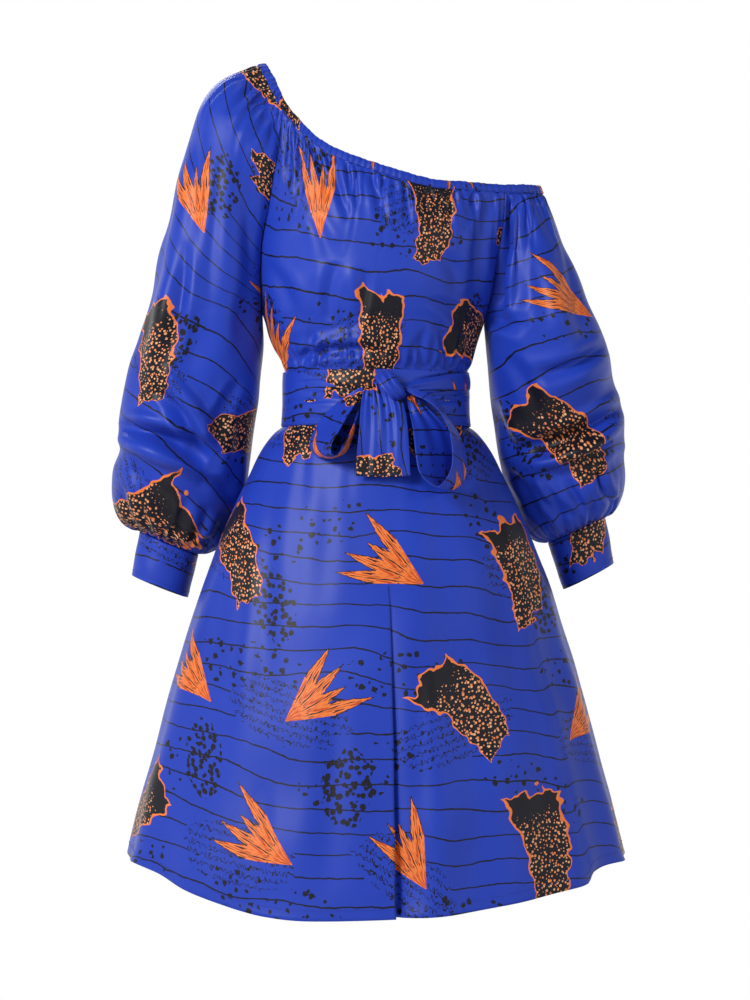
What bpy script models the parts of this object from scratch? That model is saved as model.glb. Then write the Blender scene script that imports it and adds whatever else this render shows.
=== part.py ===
# One-shoulder dress with balloon sleeves, a flared skirt and a sash tied in a bow.
# Tables are in millimetres: x across the front from the centre line, y towards the back,
# z up from the point where the covered shoulder carries the dress. Meshes are in metres.

import math

import bmesh
import bpy
import numpy as np

MM = 0.001
DRESS = "one_shoulder_dress"

# Driving dimensions, in millimetres.
CARRIED_AT = (-143.0, 0.0, 0.0)
CLOTH_WALL = 1.5
DOUBLED_WALL = 2.0
SEAM_GAP = 0.3
NECK_SEAM_GAP = 1.1
WAIST_HEIGHT = -418.0
SASH_TOP = -384.0
SASH_BOTTOM = -451.0
SASH_CLEARANCE = 0.5
CASING_HEIGHT = 11.0
CASING_OUT = 1.2
CASING_IN = 2.6
CASING_RUCHE = 0.6
CASING_TAPER = 0.4
CHEST_MIDDLE = (20.0, 0.0, -260.0)
HEM_SIDE_HEIGHT = -985.0
HEM_DROP = 42.0
PLEAT_X = 20.0
PLEAT_START = -655.0
PLEAT_DEPTH = 15.0
PLEAT_SPREAD = 7.5
EYE_DISTANCE = 2800.0
EYE_HEIGHT = -542.0

# How many gathers each edge has, and how far they stand out.
BODICE_NECK_GATHERS = 12
SLEEVE_NECK_GATHERS = 8
CUFF_TUCKS = 9
NECK_GATHER_DEPTH = 1.9
NECK_GATHER_LENGTH = 48.0
CUFF_TUCK_DEPTH = 3.2
WAIST_GATHERS = 14
WAIST_GATHER_DEPTH = 1.6
GATHER_RISE = 2.7

# Columns and rows of the grids.
FRONT_COLUMNS = 42
BACK_COLUMNS = 36
SLEEVE_COLUMNS = 30
CASING_SEGMENTS = 104
CAP_ROWS = 7
ROW_TO_TURN = 0.16
UNDER_SASH = 0.1
SIDE_SEAM_SHARE = 0.3
SIDE_SEAM_ROWS = (0.0, 0.1, 0.15, 0.22)


def table(names, rows):
    """Named columns of a table of numbers."""
    return dict(zip(names.split(), np.array(rows, float).T))


# Body of the bodice: half widths left and right of the centre line, depths to front and back.
TORSO = table("z left right front back", [
    (-451, 116, 116, 90, 84),
    (-418, 114.5, 114.5, 88.5, 82.5),
    (-384, 114, 114, 88, 82),
    (-371, 117, 119.5, 92, 86),
    (-352, 128, 125, 98, 89),
    (-338, 134, 129.5, 102, 91.5),
    (-322, 138, 135, 105, 93),
    (-309, 142, 139, 108, 95),
    (-268, 147, 153, 113, 99),
    (-228, 150, 164, 113, 103),
    (-187, 150, 177, 106, 104),
    (-145, 150, 182, 93, 104),
    (-98, 147, 182, 79, 98),
    (-65, 145, 180, 70, 84),
    (0, 140, 176, 45, 60),
])

# Raglan seams where sleeve and bodice meet, from the underarm to the neck.
RAGLAN_LEFT = table("z x", [
    (-309, -142), (-268, -142), (-228, -139.5), (-187, -130), (-145, -122), (-109, -114), (-60, -108),
])
RAGLAN_RIGHT = table("z x", [
    (-322, 135), (-286, 143), (-238, 150), (-196, 156), (-158, 157),
])

# Upper edge of the neck elastic, from the covered shoulder across the chest, round the other
# arm and back across the shoulder blades, with the direction in which the cloth leaves it.
NECKLINE = table("x y z dx dy dz", [
    (-137, 0, 2, -1, 0, -0.15),
    (-125, -22, -20, -1, -0.25, -0.35),
    (-111, -40, -52, -0.85, -0.3, -0.55),
    (-94, -55, -75, -0.65, -0.3, -0.75),
    (-73, -68, -98, -0.5, -0.3, -0.85),
    (-51, -78, -113, -0.35, -0.3, -0.95),
    (-22, -86, -126, -0.25, -0.28, -1),
    (29, -90, -143, -0.15, -0.25, -1),
    (70, -84, -153, -0.08, -0.22, -1),
    (106, -72, -154, 0, -0.18, -1),
    (152, -52, -155, 0.1, -0.15, -1),
    (184, -30, -152, 0.22, -0.12, -1),
    (205, 5, -149, 0.35, 0, -1),
    (186, 42, -146, 0.22, 0.12, -1),
    (150, 66, -142, 0.1, 0.12, -1),
    (100, 88, -136, 0, 0.1, -1),
    (40, 100, -126, -0.08, 0.1, -1),
    (-20, 98, -112, -0.2, 0.12, -1),
    (-70, 84, -90, -0.45, 0.2, -0.88),
    (-105, 56, -58, -0.8, 0.3, -0.6),
    (-128, 26, -18, -1, 0.25, -0.35),
])

# Rows of the neckline table, and parts of rows, where the raglan seams meet it.
FRONT_LEFT_CORNER = 2.3
FRONT_RIGHT_CORNER = 10.12
BACK_RIGHT_CORNER = 13.9
BACK_LEFT_CORNER = 18.95

# Sleeves, a row for each ring from the neck to the cuff: the outer edge, the inner edge, where
# the ring lies front to back, and its half depth. Rows of the cap take their ends from the seams.
SLEEVE_LEFT = table("outer_x outer_z inner_x inner_z middle_y depth", [
    (-148, 0, -108, -65, 0, 50),
    (-190, -17, -112, -100, 0, 62),
    (-215, -45, -119, -135, 0, 68),
    (-228, -82, -126, -170, 0, 71),
    (-240, -120, -133, -204, 0, 73),
    (-252, -170, -139, -239, 0, 75),
    (-270, -238, -142, -274, 0, 77),
    (-288, -310, -142, -309, 0, 78),
    (-297, -340, -141, -344, 4, 78),
    (-309, -376, -145, -384, 12, 79),
    (-319, -425, -149, -424, 24, 80),
    (-326, -464, -154, -461, 34, 80),
    (-330, -498, -158, -497, 44, 79),
    (-329, -528, -163, -530, 55, 77),
    (-324, -552, -174, -566, 64, 72),
    (-316, -568, -186, -592, 68, 62),
    (-304, -578, -204, -606, 68, 46),
    (-294.5, -580.5, -222.5, -610.5, 68, 31),
])
SLEEVE_RIGHT = table("outer_x outer_z inner_x inner_z middle_y depth", [
    (209, -160, 157, -169, 5, 53),
    (217, -177, 157, -191, 5, 58),
    (225, -197, 155, -213, 4, 62),
    (234, -220, 151, -235, 3, 66),
    (244, -243, 148, -256, 2, 70),
    (255, -269, 144, -278, 1, 73),
    (265, -295, 140, -300, 0, 76),
    (276, -322, 135, -322, 0, 78),
    (284, -345, 137, -349, 4, 78),
    (292, -371, 140, -382, 12, 79),
    (302, -404, 143, -418, 24, 80),
    (309, -438, 148, -452, 34, 81),
    (312, -470, 153, -484, 44, 80),
    (311, -505, 159, -515, 54, 78),
    (307, -530, 169, -546, 61, 74),
    (300, -549, 182, -575, 67, 65),
    (292, -559, 200, -592, 68, 48),
    (285.5, -561.5, 215.5, -595.5, 68, 31),
])

# Largest folds of the sleeves, soft troughs that run from a to b over the rings and round them.
SLEEVE_FOLDS_LEFT = table("row_a turn_a row_b turn_b breadth depth", [
    (3.5, -0.42, 9.5, -0.5, 0.07, 4.5),
    (5.0, -0.12, 10.5, -0.2, 0.08, 4.0),
    (9.2, -0.2, 12.8, -0.78, 0.09, 7.0),
    (11.2, 0.05, 12.6, -0.45, 0.08, 8.0),
    (4.0, 0.35, 10.0, 0.45, 0.08, 5.0),
    (10.0, 0.15, 12.8, 0.7, 0.09, 7.0),
])
SLEEVE_FOLDS_RIGHT = table("row_a turn_a row_b turn_b breadth depth", [
    (0.8, -0.84, 7.5, -0.72, 0.08, 11.0),
    (4.0, -0.25, 9.0, -0.3, 0.08, 4.0),
    (9.6, -0.05, 12.0, -0.72, 0.09, 9.0),
    (12.4, -0.1, 13.2, -0.6, 0.08, 6.0),
    (1.0, 0.8, 7.0, 0.7, 0.09, 7.0),
    (9.4, 0.12, 12.5, 0.7, 0.09, 8.0),
])

# Largest folds of the bodice front and back, in the same way over u and v of the panel.
BODICE_FOLDS_FRONT = table("u_a v_a u_b v_b breadth depth", [
    (0.42, 0.28, 0.34, 0.62, 0.035, 3.0),
    (0.52, 0.25, 0.47, 0.5, 0.035, 2.2),
    (0.12, 0.3, 0.2, 0.62, 0.04, 3.0),
    (0.87, 0.28, 0.82, 0.66, 0.04, 3.5),
])
BODICE_FOLDS_BACK = table("u_a v_a u_b v_b breadth depth", [
    (0.16, 0.28, 0.22, 0.66, 0.045, 3.5),
    (0.46, 0.24, 0.5, 0.55, 0.05, 3.0),
    (0.84, 0.28, 0.78, 0.66, 0.045, 3.5),
])

# Cuffs: upper and lower ring.
CUFF_DEPTH = 31.0
CUFF_MIDDLE = 68.0
CUFF_LEFT = table("outer_x outer_z inner_x inner_z", [(-295, -581.5, -222, -611.5), (-305, -636, -235, -664)])
CUFF_RIGHT = table("outer_x outer_z inner_x inner_z", [(286, -562.5, 215, -596.5), (297, -621, 234, -654)])

# Skirt: half width and depths at heights of the side seam.
SKIRT = table("z width front back", [
    (-418, 114.5, 88.5, 82.5),
    (-451, 116, 90, 84),
    (-458, 125, 95, 88.5),
    (-472, 137, 102, 96),
    (-488, 147, 108, 103),
    (-511, 158, 114, 111),
    (-542, 173, 123, 121),
    (-611, 202, 141, 143),
    (-686, 227, 158, 162),
    (-792, 260, 179, 184),
    (-861, 277, 192, 197),
    (-917, 293, 203, 207),
    (-985, 310, 216, 218),
])
SKIRT_ROWS = (0.0, 0.058, 0.11, 0.16, 0.22, 0.31, 0.42, 0.54, 0.66, 0.78, 0.89, 1.0)

# Hem line: its height over the angle from the middle, a little uneven at the front.
HEM_FRONT = table("angle height", [
    (-90, -979), (-67, -980), (-58, -987), (-44.5, -1004), (-24.5, -1026), (-15, -1029), (0, -1027),
    (15.7, -1022.5), (27.7, -1015), (47, -1002), (53, -998), (56, -986.5), (67, -980), (90, -979),
])
HEM_BACK = table("angle height", [
    (-90, -979), (-67, -980), (-44, -1004), (-22, -1024), (0, -1028), (22, -1024), (44, -1004),
    (67, -980), (90, -979),
])

# Flutes of the skirt: angle from the middle, half breadth in degrees, height at the hem.
FRONT_FLUTES = table("angle breadth height", [
    (-66, 7, 11), (-44, 9, 6), (-20, 9, 3.5), (14, 5, 5), (33, 8, 4), (50, 7, 8), (69, 6, 12),
])
BACK_FLUTES = table("angle breadth height", [
    (-70, 7, 11), (-50, 8, 9), (-27, 9, 10), (-4, 8, 8), (19, 8, 10), (43, 8, 9), (67, 7, 11),
])

# Bow: each loop runs between a front rim and a back rim, drawn as they look from the front.
LOOP_LEFT = table("front_x front_z front_y back_x back_z back_y", [
    (-16.6, -408, -104, -16.7, -401, -99),
    (-23, -417, -110, -34, -410, -95),
    (-36, -437, -125, -63, -434, -92),
    (-47, -456, -138, -79, -459, -90),
    (-56, -472, -145, -83, -475, -94),
    (-56, -485, -146, -75, -487, -101),
    (-47, -486, -146, -56, -491, -107),
    (-39, -471, -142, -37, -482, -110),
    (-30, -454, -128, -27, -457, -106),
    (-19, -424, -101, -21, -428, -97),
])
LOOP_RIGHT = table("front_x front_z front_y back_x back_z back_y", [
    (37.0, -406, -104, 37.1, -400, -99),
    (47, -411, -112, 54, -406, -93),
    (62, -417, -122, 73, -415, -86),
    (79, -430, -134, 90, -439, -80),
    (91, -452, -144, 105, -462, -80),
    (96, -479, -150, 114, -492, -86),
    (94, -505, -152, 109, -520, -99),
    (79, -526, -152, 89, -530, -112),
    (63, -519, -150, 70, -526, -118),
    (53, -505, -146, 57, -511, -117),
    (49, -482, -140, 51, -484, -113),
    (46, -455, -126, 47, -457, -108),
    (40, -430, -103, 42, -431, -102),
])
TAIL = table("left right z y", [
    (-17, 31, -415.2, -106),
    (-19, 36, -428, -112),
    (-21, 40, -454, -120),
    (-24, 42, -485, -124),
    (-25, 43, -512, -127),
])
TAIL_FOLDS = 3
TAIL_FOLD_DEPTH = 2.4
KNOT_CENTRE = (10.0, -104.9, -404.0)
KNOT_SIZE = (26.0, 13.0, 10.5)
KNOT_RISE = 18.0
KNOT_NARROWING = 0.5
KNOT_GROOVES = 3
KNOT_GROOVE_DEPTH = 1.3
FOLD = table("angle top bottom", [(18, -402, -411), (30, -398, -409), (45, -393.5, -408), (78, -387, -407)])
FOLD_COLUMNS = 14


def smooth(xs, ys, x):
    """Monotone cubic curve through the points of two table columns."""
    if xs[0] > xs[-1]:
        xs, ys = xs[::-1], ys[::-1]
    steps = np.diff(xs)
    slopes = np.diff(ys) / steps
    tangents = np.concatenate(([slopes[0]], np.zeros(len(xs) - 2), [slopes[-1]]))
    same = slopes[1:] * slopes[:-1] > 0
    sums = np.where(same, slopes[1:] + slopes[:-1], 1)
    tangents[1:-1] = np.where(same, 2 * slopes[1:] * slopes[:-1] / sums, 0)
    x = np.clip(x, xs[0], xs[-1])
    i = np.clip(np.searchsorted(xs, x, side="right") - 1, 0, len(steps) - 1)
    t = (x - xs[i]) / steps[i]
    start = (1 + 2 * t) * (1 - t) ** 2 * ys[i] + t * (1 - t) ** 2 * steps[i] * tangents[i]
    end = t * t * (3 - 2 * t) * ys[i + 1] + t * t * (t - 1) * steps[i] * tangents[i + 1]
    return start + end


def by_row(columns, name, row):
    """A table column as a smooth curve over its row number."""
    values = columns[name]
    return smooth(np.arange(len(values), dtype=float), values, row)


def catmull(before, start, end, after, t):
    """Point of a Catmull-Rom span."""
    return 0.5 * (
        2 * start
        + (end - before) * t
        + (2 * before - 5 * start + 4 * end - after) * t * t
        + (3 * start - before - 3 * end + after) * t ** 3
    )


def neckline(row):
    """Upper edge of the neck elastic and the direction of the cloth there."""
    points = np.column_stack([NECKLINE[name] for name in ("x", "y", "z", "dx", "dy", "dz")])
    count = len(points)
    i = int(math.floor(row))
    near = [points[(i + k) % count] for k in (-1, 0, 1, 2)]
    found = catmull(*near, row - i)
    return found[:3], found[3:] / np.linalg.norm(found[3:])


def neck_rows(start, end, count):
    """Row numbers, evenly spaced in length, between two places of the neckline."""
    fine = np.linspace(start, end, 200)
    points = np.array([neckline(row)[0] for row in fine])
    lengths = np.concatenate(([0], np.cumsum(np.linalg.norm(np.diff(points, axis=0), axis=1))))
    return np.interp(np.linspace(0, lengths[-1], count), lengths, fine)


def cloth_top(row):
    """Where the cloth of bodice and sleeves starts, just under the neck elastic."""
    edge, away = neckline(row)
    return edge + away * (CASING_HEIGHT + NECK_SEAM_GAP)


def torso_point(angle, z, side):
    """Point of the body of the bodice: angle 0 is the middle, side -1 the front and 1 the back."""
    width = smooth(TORSO["z"], TORSO["left" if angle < 0 else "right"], z)
    depth = smooth(TORSO["z"], TORSO["front" if side < 0 else "back"], z)
    return np.array([width * math.sin(angle), side * depth * math.cos(angle), z])


def seam_angle(seam, z):
    """Angle at which a raglan seam, or the side seam under it, crosses a height."""
    sign = -1 if seam is RAGLAN_LEFT else 1
    if z <= seam["z"][0]:
        return sign * math.pi / 2
    width = smooth(TORSO["z"], TORSO["left" if sign < 0 else "right"], z)
    return math.asin(np.clip(smooth(seam["z"], seam["x"], z) / width, -1, 1))


def column_height(v, under, top):
    """Height on a column of the bodice that passes the sash, the underarm level and the neck."""
    return np.interp(v, (0, UNDER_SASH, SIDE_SEAM_SHARE, 1), (WAIST_HEIGHT, SASH_TOP, under, top))


def fold_depth(folds, across, along, names, stretch):
    """Depth of the soft troughs at one place of a piece; stretch compares its two directions."""
    deep = 0.0
    for a0, a1, b0, b1, breadth, depth in zip(*(folds[name] for name in names)):
        start = np.array([a0, a1 * stretch])
        run = np.array([b0, b1 * stretch]) - start
        part = np.dot(np.array([across, along * stretch]) - start, run) / np.dot(run, run)
        off = np.array([across, along * stretch]) - start - run * min(max(part, 0.0), 1.0)
        ends = math.exp(-((max(abs(part - 0.5) - 0.3, 0.0) / 0.25) ** 2))
        deep += depth * ends * math.exp(-float(off @ off) / (breadth * breadth))
    return deep


def bodice_point(u, v, side):
    """Bodice cloth: u runs from the viewer's left to the right, v from the waist to the neck."""
    if side < 0:
        corners = (FRONT_LEFT_CORNER, FRONT_RIGHT_CORNER)
    else:
        corners = (BACK_LEFT_CORNER, BACK_RIGHT_CORNER)
    rows = neck_rows(corners[0], corners[1], 61)
    top = cloth_top(np.interp(u, np.linspace(0, 1, 61), rows))
    corner_z = [cloth_top(corner)[2] for corner in corners]
    under_z = [RAGLAN_LEFT["z"][0], RAGLAN_RIGHT["z"][0]]
    shares = [(under - WAIST_HEIGHT) / (z - WAIST_HEIGHT) for under, z in zip(under_z, corner_z)]
    share = shares[0] + u * (shares[1] - shares[0])

    def on_torso(part):
        z = column_height(part, WAIST_HEIGHT + share * (top[2] - WAIST_HEIGHT), top[2])
        left = seam_angle(RAGLAN_LEFT, column_height(part, under_z[0], corner_z[0]))
        right = seam_angle(RAGLAN_RIGHT, column_height(part, under_z[1], corner_z[1]))
        return torso_point(left + u * (right - left), z, side)

    point = on_torso(v)
    height = (point[2] - WAIST_HEIGHT) / (top[2] - WAIST_HEIGHT)
    point += (top - on_torso(1.0)) * height ** 3
    below = (1 - height) * (top[2] - WAIST_HEIGHT)
    gather = NECK_GATHER_DEPTH * math.cos(2 * math.pi * BODICE_NECK_GATHERS * u)
    gather *= math.exp(-((below / NECK_GATHER_LENGTH) ** 2)) * math.sin(math.pi * u) ** 0.5
    over_sash = (point[2] - SASH_TOP) / NECK_GATHER_LENGTH
    if over_sash > 0:
        waist = WAIST_GATHER_DEPTH * math.cos(2 * math.pi * WAIST_GATHERS * u) * math.sin(math.pi * u)
        gather += waist * over_sash * GATHER_RISE * math.exp(-over_sash * 2)
    folds = BODICE_FOLDS_FRONT if side < 0 else BODICE_FOLDS_BACK
    names = ("u_a", "v_a", "u_b", "v_b", "breadth", "depth")
    trough = fold_depth(folds, u, v, names, 0.9) * math.sin(math.pi * u) if v > UNDER_SASH else 0.0
    point[1] += side * (gather - trough + SEAM_GAP)
    return point


def skirt_point(angle, v, side, flutes):
    """Skirt cloth: angle 0 is the middle, v runs from the waist to the hem."""
    hem = HEM_FRONT if side < 0 else HEM_BACK
    bottom = smooth(hem["angle"], hem["height"], math.degrees(angle))
    z = WAIST_HEIGHT - SEAM_GAP * 2 + v * (bottom - WAIST_HEIGHT)
    level = WAIST_HEIGHT + v * (HEM_SIDE_HEIGHT - WAIST_HEIGHT)
    width = smooth(SKIRT["z"], SKIRT["width"], level)
    depth = smooth(SKIRT["z"], SKIRT["front" if side < 0 else "back"], level)
    out = 0.0
    loose = max(0.0, (SASH_BOTTOM - z) / (SASH_BOTTOM - HEM_SIDE_HEIGHT))
    degrees = math.degrees(angle)
    for middle, breadth, height in zip(flutes["angle"], flutes["breadth"], flutes["height"]):
        out += height * math.exp(-(((degrees - middle) / breadth) ** 2)) * loose ** 1.1
    near_sash = max(0.0, SASH_BOTTOM - z) / NECK_GATHER_LENGTH
    gather = WAIST_GATHER_DEPTH * math.cos(WAIST_GATHERS * 2 * angle) * math.cos(angle) ** 2
    out += gather * near_sash * GATHER_RISE * math.exp(-near_sash)
    if side < 0:
        out -= pleat_recess(degrees, z)
    x = (width + out) * math.sin(angle)
    y = side * ((depth + out) * math.cos(angle) + SEAM_GAP)
    return np.array([x, y, z])


def pleat_recess(degrees, z):
    """How far the cloth right of the pleat's edge lies behind the cloth left of it."""
    past = degrees - pleat_angle()
    if past <= 0 or z > PLEAT_START:
        return 0.0
    fallen = (PLEAT_START - z) / (PLEAT_START - HEM_SIDE_HEIGHT + HEM_DROP)
    return PLEAT_DEPTH * fallen ** 0.8 * max(0.0, 1 - past / PLEAT_SPREAD) ** 2


def pleat_angle():
    """Angle of the pleat's edge, halfway down the skirt."""
    middle = (PLEAT_START + HEM_SIDE_HEIGHT) / 2
    return math.degrees(math.asin(PLEAT_X / smooth(SKIRT["z"], SKIRT["width"], middle)))


def sleeve_point(sleeve, row, turn, seam):
    """Sleeve cloth: row runs down the sleeve, turn from -1 at the front seam to 1 at the back."""
    outer = np.array([by_row(sleeve, "outer_x", row), 0.0, by_row(sleeve, "outer_z", row)])
    middle = by_row(sleeve, "middle_y", row)
    outer[1] = middle
    depth = by_row(sleeve, "depth", row)
    sign = -1 if seam is RAGLAN_LEFT else 1
    if row <= CAP_ROWS:
        v = 1 - row / CAP_ROWS * (1 - SIDE_SEAM_SHARE)
        edge = 0.0 if sign < 0 else 1.0
        front = bodice_point(edge, v, -1)
        back = bodice_point(edge, v, 1)
        front[0] += sign * SEAM_GAP * 1.5
        back[0] += sign * SEAM_GAP * 1.5
        if row == CAP_ROWS:
            front[1] = back[1] = middle
    else:
        front = np.array([by_row(sleeve, "inner_x", row), middle, by_row(sleeve, "inner_z", row)])
        back = front.copy()
    chord = (front + back) / 2
    half = min(abs(front[1] - back[1]) / 2, depth)
    arc = math.pi - math.asin(half / depth)
    reach = outer - chord
    reach[1] = 0.0
    radius = np.linalg.norm(reach) / (1 - math.cos(arc))
    along = reach / np.linalg.norm(reach)
    centre = chord + along * (-math.cos(arc)) * radius
    centre[1] = middle

    def on_ring(part):
        sideways = np.array([0, depth * math.sin(part * arc), 0])
        return centre + along * radius * math.cos(part * arc) + sideways

    point = on_ring(turn)
    end, start = (front, on_ring(-1)) if turn < 0 else (back, on_ring(1))
    point = point + (end - start) * abs(turn) ** 2
    if row < 2:
        top = sleeve_top(turn, sign)
        share = (1 - row / 2) ** 2
        point = point + (top - sleeve_row_zero(sleeve, turn, seam)) * share if row else top
    outward = point - centre
    outward[1] *= radius / depth
    outward /= max(np.linalg.norm(outward), 1.0)
    folds = SLEEVE_FOLDS_LEFT if sign < 0 else SLEEVE_FOLDS_RIGHT
    names = ("turn_a", "row_a", "turn_b", "row_b", "breadth", "depth")
    trough = fold_depth(folds, turn, row, names, ROW_TO_TURN) * (1 - turn ** 4)
    point = point + outward * (sleeve_gather(row, turn, len(sleeve["depth"]) - 1) - trough)
    return seen_at(point, middle) if row > CAP_ROWS else point


def sleeve_row_zero(sleeve, turn, seam):
    """First ring of a sleeve by its table alone."""
    sign = -1 if seam is RAGLAN_LEFT else 1
    outer = np.array([sleeve["outer_x"][0], sleeve["middle_y"][0], sleeve["outer_z"][0]])
    ends = [bodice_point(0.0 if sign < 0 else 1.0, 1.0, side) for side in (-1, 1)]
    chord = (ends[0] + ends[1]) / 2
    part = turn * math.pi / 2
    ring = chord + (outer - chord) * math.cos(part)
    ring[1] = chord[1] + (ends[1][1] - chord[1]) * math.sin(part)
    return ring


def sleeve_top(turn, sign):
    """Upper edge of a sleeve, just under the neck elastic."""
    if sign < 0:
        rows = neck_rows(FRONT_LEFT_CORNER, BACK_LEFT_CORNER - len(NECKLINE["x"]), 41)
    else:
        rows = neck_rows(FRONT_RIGHT_CORNER, BACK_RIGHT_CORNER, 41)
    top = cloth_top(np.interp((turn + 1) / 2, np.linspace(0, 1, 41), rows))
    top[0] += sign * SEAM_GAP * 1.5 * abs(turn) ** 4
    return top


def sleeve_gather(row, turn, last):
    """Gathers under the neck elastic and tucks above the cuff."""
    fade = max(0.0, 1 - turn * turn)
    out = 0.0
    if 0 < row < 3:
        wave = math.cos(math.pi * SLEEVE_NECK_GATHERS * turn)
        out += NECK_GATHER_DEPTH * wave * math.sin(math.pi * row / 3) * fade
    if last - 4 < row < last:
        wave = math.cos(math.pi * CUFF_TUCKS * turn)
        out += CUFF_TUCK_DEPTH * wave * math.sin(math.pi * (last - row) / 4) * fade ** 0.3
    return out


def seen_at(point, depth):
    """Spreads a point of a front view, so it keeps its place as seen from the eye at a depth."""
    scale = 1 + depth / EYE_DISTANCE
    x, y, z = point
    return np.array([x * scale, y, EYE_HEIGHT + (z - EYE_HEIGHT) * scale])


def as_seen(x, y, z):
    """Point of a front view at its own depth."""
    return seen_at((x, y, z), y)


def front_angles():
    """Angles of the columns of the front, with more of them at the pleat."""
    even = np.linspace(-90, 90, FRONT_COLUMNS + 1)
    edge = pleat_angle()
    extra = edge + np.array([-0.15, 0.45, 2.4, 5.0])
    even = even[np.abs(even - edge) > 1.2]
    return np.radians(np.sort(np.concatenate((even, extra))))


def back_angles():
    """Angles of the columns of the back."""
    return np.radians(np.linspace(-90, 90, BACK_COLUMNS + 1))


def cloth_material(name, colour, roughness):
    """Principled finish of one piece."""
    material = bpy.data.materials.new(name)
    material.use_nodes = True
    shader = material.node_tree.nodes["Principled BSDF"]
    shader.inputs["Base Color"].default_value = (*colour, 1)
    shader.inputs["Roughness"].default_value = roughness
    shader.inputs["Metallic"].default_value = 0
    return material


def add_grid(name, rows, collection, wall, flip=False, outward=False, closed_from=None, loop=False):
    """Open surface through rows of points, given its wall by Solidify."""
    mesh = bpy.data.meshes.new(name)
    shape = bmesh.new()
    place = np.array(CARRIED_AT)
    verts = []
    for number, row in enumerate(rows):
        line = [shape.verts.new((np.array(point) - place) * MM) for point in row]
        if closed_from is not None and number >= closed_from:
            shape.verts.remove(line[-1])
            line[-1] = line[0]
        verts.append(line)
    for lower, upper in zip(verts, verts[1:]):
        count = len(lower)
        for c in range(count if loop else count - 1):
            n = (c + 1) % count
            corners = [lower[c], lower[n], upper[n], upper[c]]
            shape.faces.new(corners[::-1] if flip else corners)
    for face in shape.faces:
        face.smooth = True
    shape.to_mesh(mesh)
    shape.free()
    made = bpy.data.objects.new(name, mesh)
    collection.objects.link(made)
    solidify = made.modifiers.new("wall", "SOLIDIFY")
    solidify.thickness = wall * MM
    solidify.offset = 1 if outward else -1
    solidify.use_even_offset = False
    made.data.materials.append(cloth_material(name, (0.03, 0.06, 0.55), 0.55))
    return made


def add_ring(name, sections, collection):
    """Closed ring through like sections, such as the neck elastic."""
    mesh = bpy.data.meshes.new(name)
    shape = bmesh.new()
    place = np.array(CARRIED_AT)
    verts = [[shape.verts.new((point - place) * MM) for point in section] for section in sections]
    for i, section in enumerate(verts):
        following = verts[(i + 1) % len(verts)]
        for c in range(len(section)):
            n = (c + 1) % len(section)
            shape.faces.new([section[c], section[n], following[n], following[c]])
    bmesh.ops.recalc_face_normals(shape, faces=shape.faces)
    shape.to_mesh(mesh)
    shape.free()
    made = bpy.data.objects.new(name, mesh)
    collection.objects.link(made)
    made.data.materials.append(cloth_material(name, (0.03, 0.06, 0.5), 0.6))
    return made


def add_bodice(collection):
    """Front and back panel, from the waist seam to the neck elastic."""
    lower = list(SIDE_SEAM_ROWS)
    upper = [1 - k / CAP_ROWS * (1 - SIDE_SEAM_SHARE) for k in range(CAP_ROWS, -1, -1)]
    for name, side, angles in (("bodice_front", -1, front_angles()), ("bodice_back", 1, back_angles())):
        across = (angles + math.pi / 2) / math.pi
        rows = [[bodice_point(u, v, side) for u in across] for v in lower + upper]
        add_grid(name, rows, collection, CLOTH_WALL, flip=side > 0)


def add_skirt(collection):
    """Front and back panel, from the waist seam to the hem."""
    for name, side, angles, flutes in (
        ("skirt_front", -1, front_angles(), FRONT_FLUTES),
        ("skirt_back", 1, back_angles(), BACK_FLUTES),
    ):
        rows = [[skirt_point(angle, v, side, flutes) for angle in angles] for v in SKIRT_ROWS]
        add_grid(name, rows, collection, CLOTH_WALL, flip=side < 0)


def add_sleeves(collection):
    """Two raglan balloon sleeves, each open along its raglan seams and closed below them."""
    turns = np.linspace(-1, 1, SLEEVE_COLUMNS + 1)
    for name, sleeve, seam in (
        ("sleeve_left", SLEEVE_LEFT, RAGLAN_LEFT),
        ("sleeve_right", SLEEVE_RIGHT, RAGLAN_RIGHT),
    ):
        rings = range(len(sleeve["depth"]))
        rows = [[sleeve_point(sleeve, ring, turn, seam) for turn in turns] for ring in rings]
        add_grid(name, rows, collection, CLOTH_WALL, flip=seam is RAGLAN_RIGHT, closed_from=CAP_ROWS)


def add_cuffs(collection):
    """Two plain doubled bands round the wrists."""
    turns = np.linspace(-math.pi, math.pi, SLEEVE_COLUMNS, endpoint=False)
    for name, cuff, flip in (("cuff_left", CUFF_LEFT, False), ("cuff_right", CUFF_RIGHT, True)):
        rows = []
        for part in (0.0, 0.5, 1.0):
            outer = np.array([by_row(cuff, "outer_x", part), CUFF_MIDDLE, by_row(cuff, "outer_z", part)])
            inner = np.array([by_row(cuff, "inner_x", part), CUFF_MIDDLE, by_row(cuff, "inner_z", part)])
            centre = (outer + inner) / 2
            deep = np.array([0, CUFF_DEPTH, 0])
            ring = [centre + (outer - centre) * math.cos(t) + deep * math.sin(t) for t in turns]
            rows.append([seen_at(point, CUFF_MIDDLE) for point in ring])
        add_grid(name, rows, collection, DOUBLED_WALL, flip=flip, loop=True)


def add_casing(collection):
    """Neck elastic in its casing, ruched on the outside."""
    sections = []
    rows = neck_rows(0, len(NECKLINE["x"]), CASING_SEGMENTS + 1)[:-1]
    for number, row in enumerate(rows):
        edge, away = neckline(row)
        ahead = neckline(row + 0.01)[0] - neckline(row - 0.01)[0]
        ahead /= np.linalg.norm(ahead)
        out = np.cross(ahead, away)
        out /= np.linalg.norm(out)
        if out @ (edge - np.array(CHEST_MIDDLE)) < 0:
            out = -out
        proud = CASING_OUT + (CASING_RUCHE if number % 2 else 0.0)
        bottom = edge + away * CASING_HEIGHT
        sections.append([
            edge + out * proud * CASING_TAPER,
            bottom + out * proud,
            bottom - out * CASING_IN,
            edge - out * CASING_IN,
        ])
    add_ring("neck_casing", sections, collection)


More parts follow.
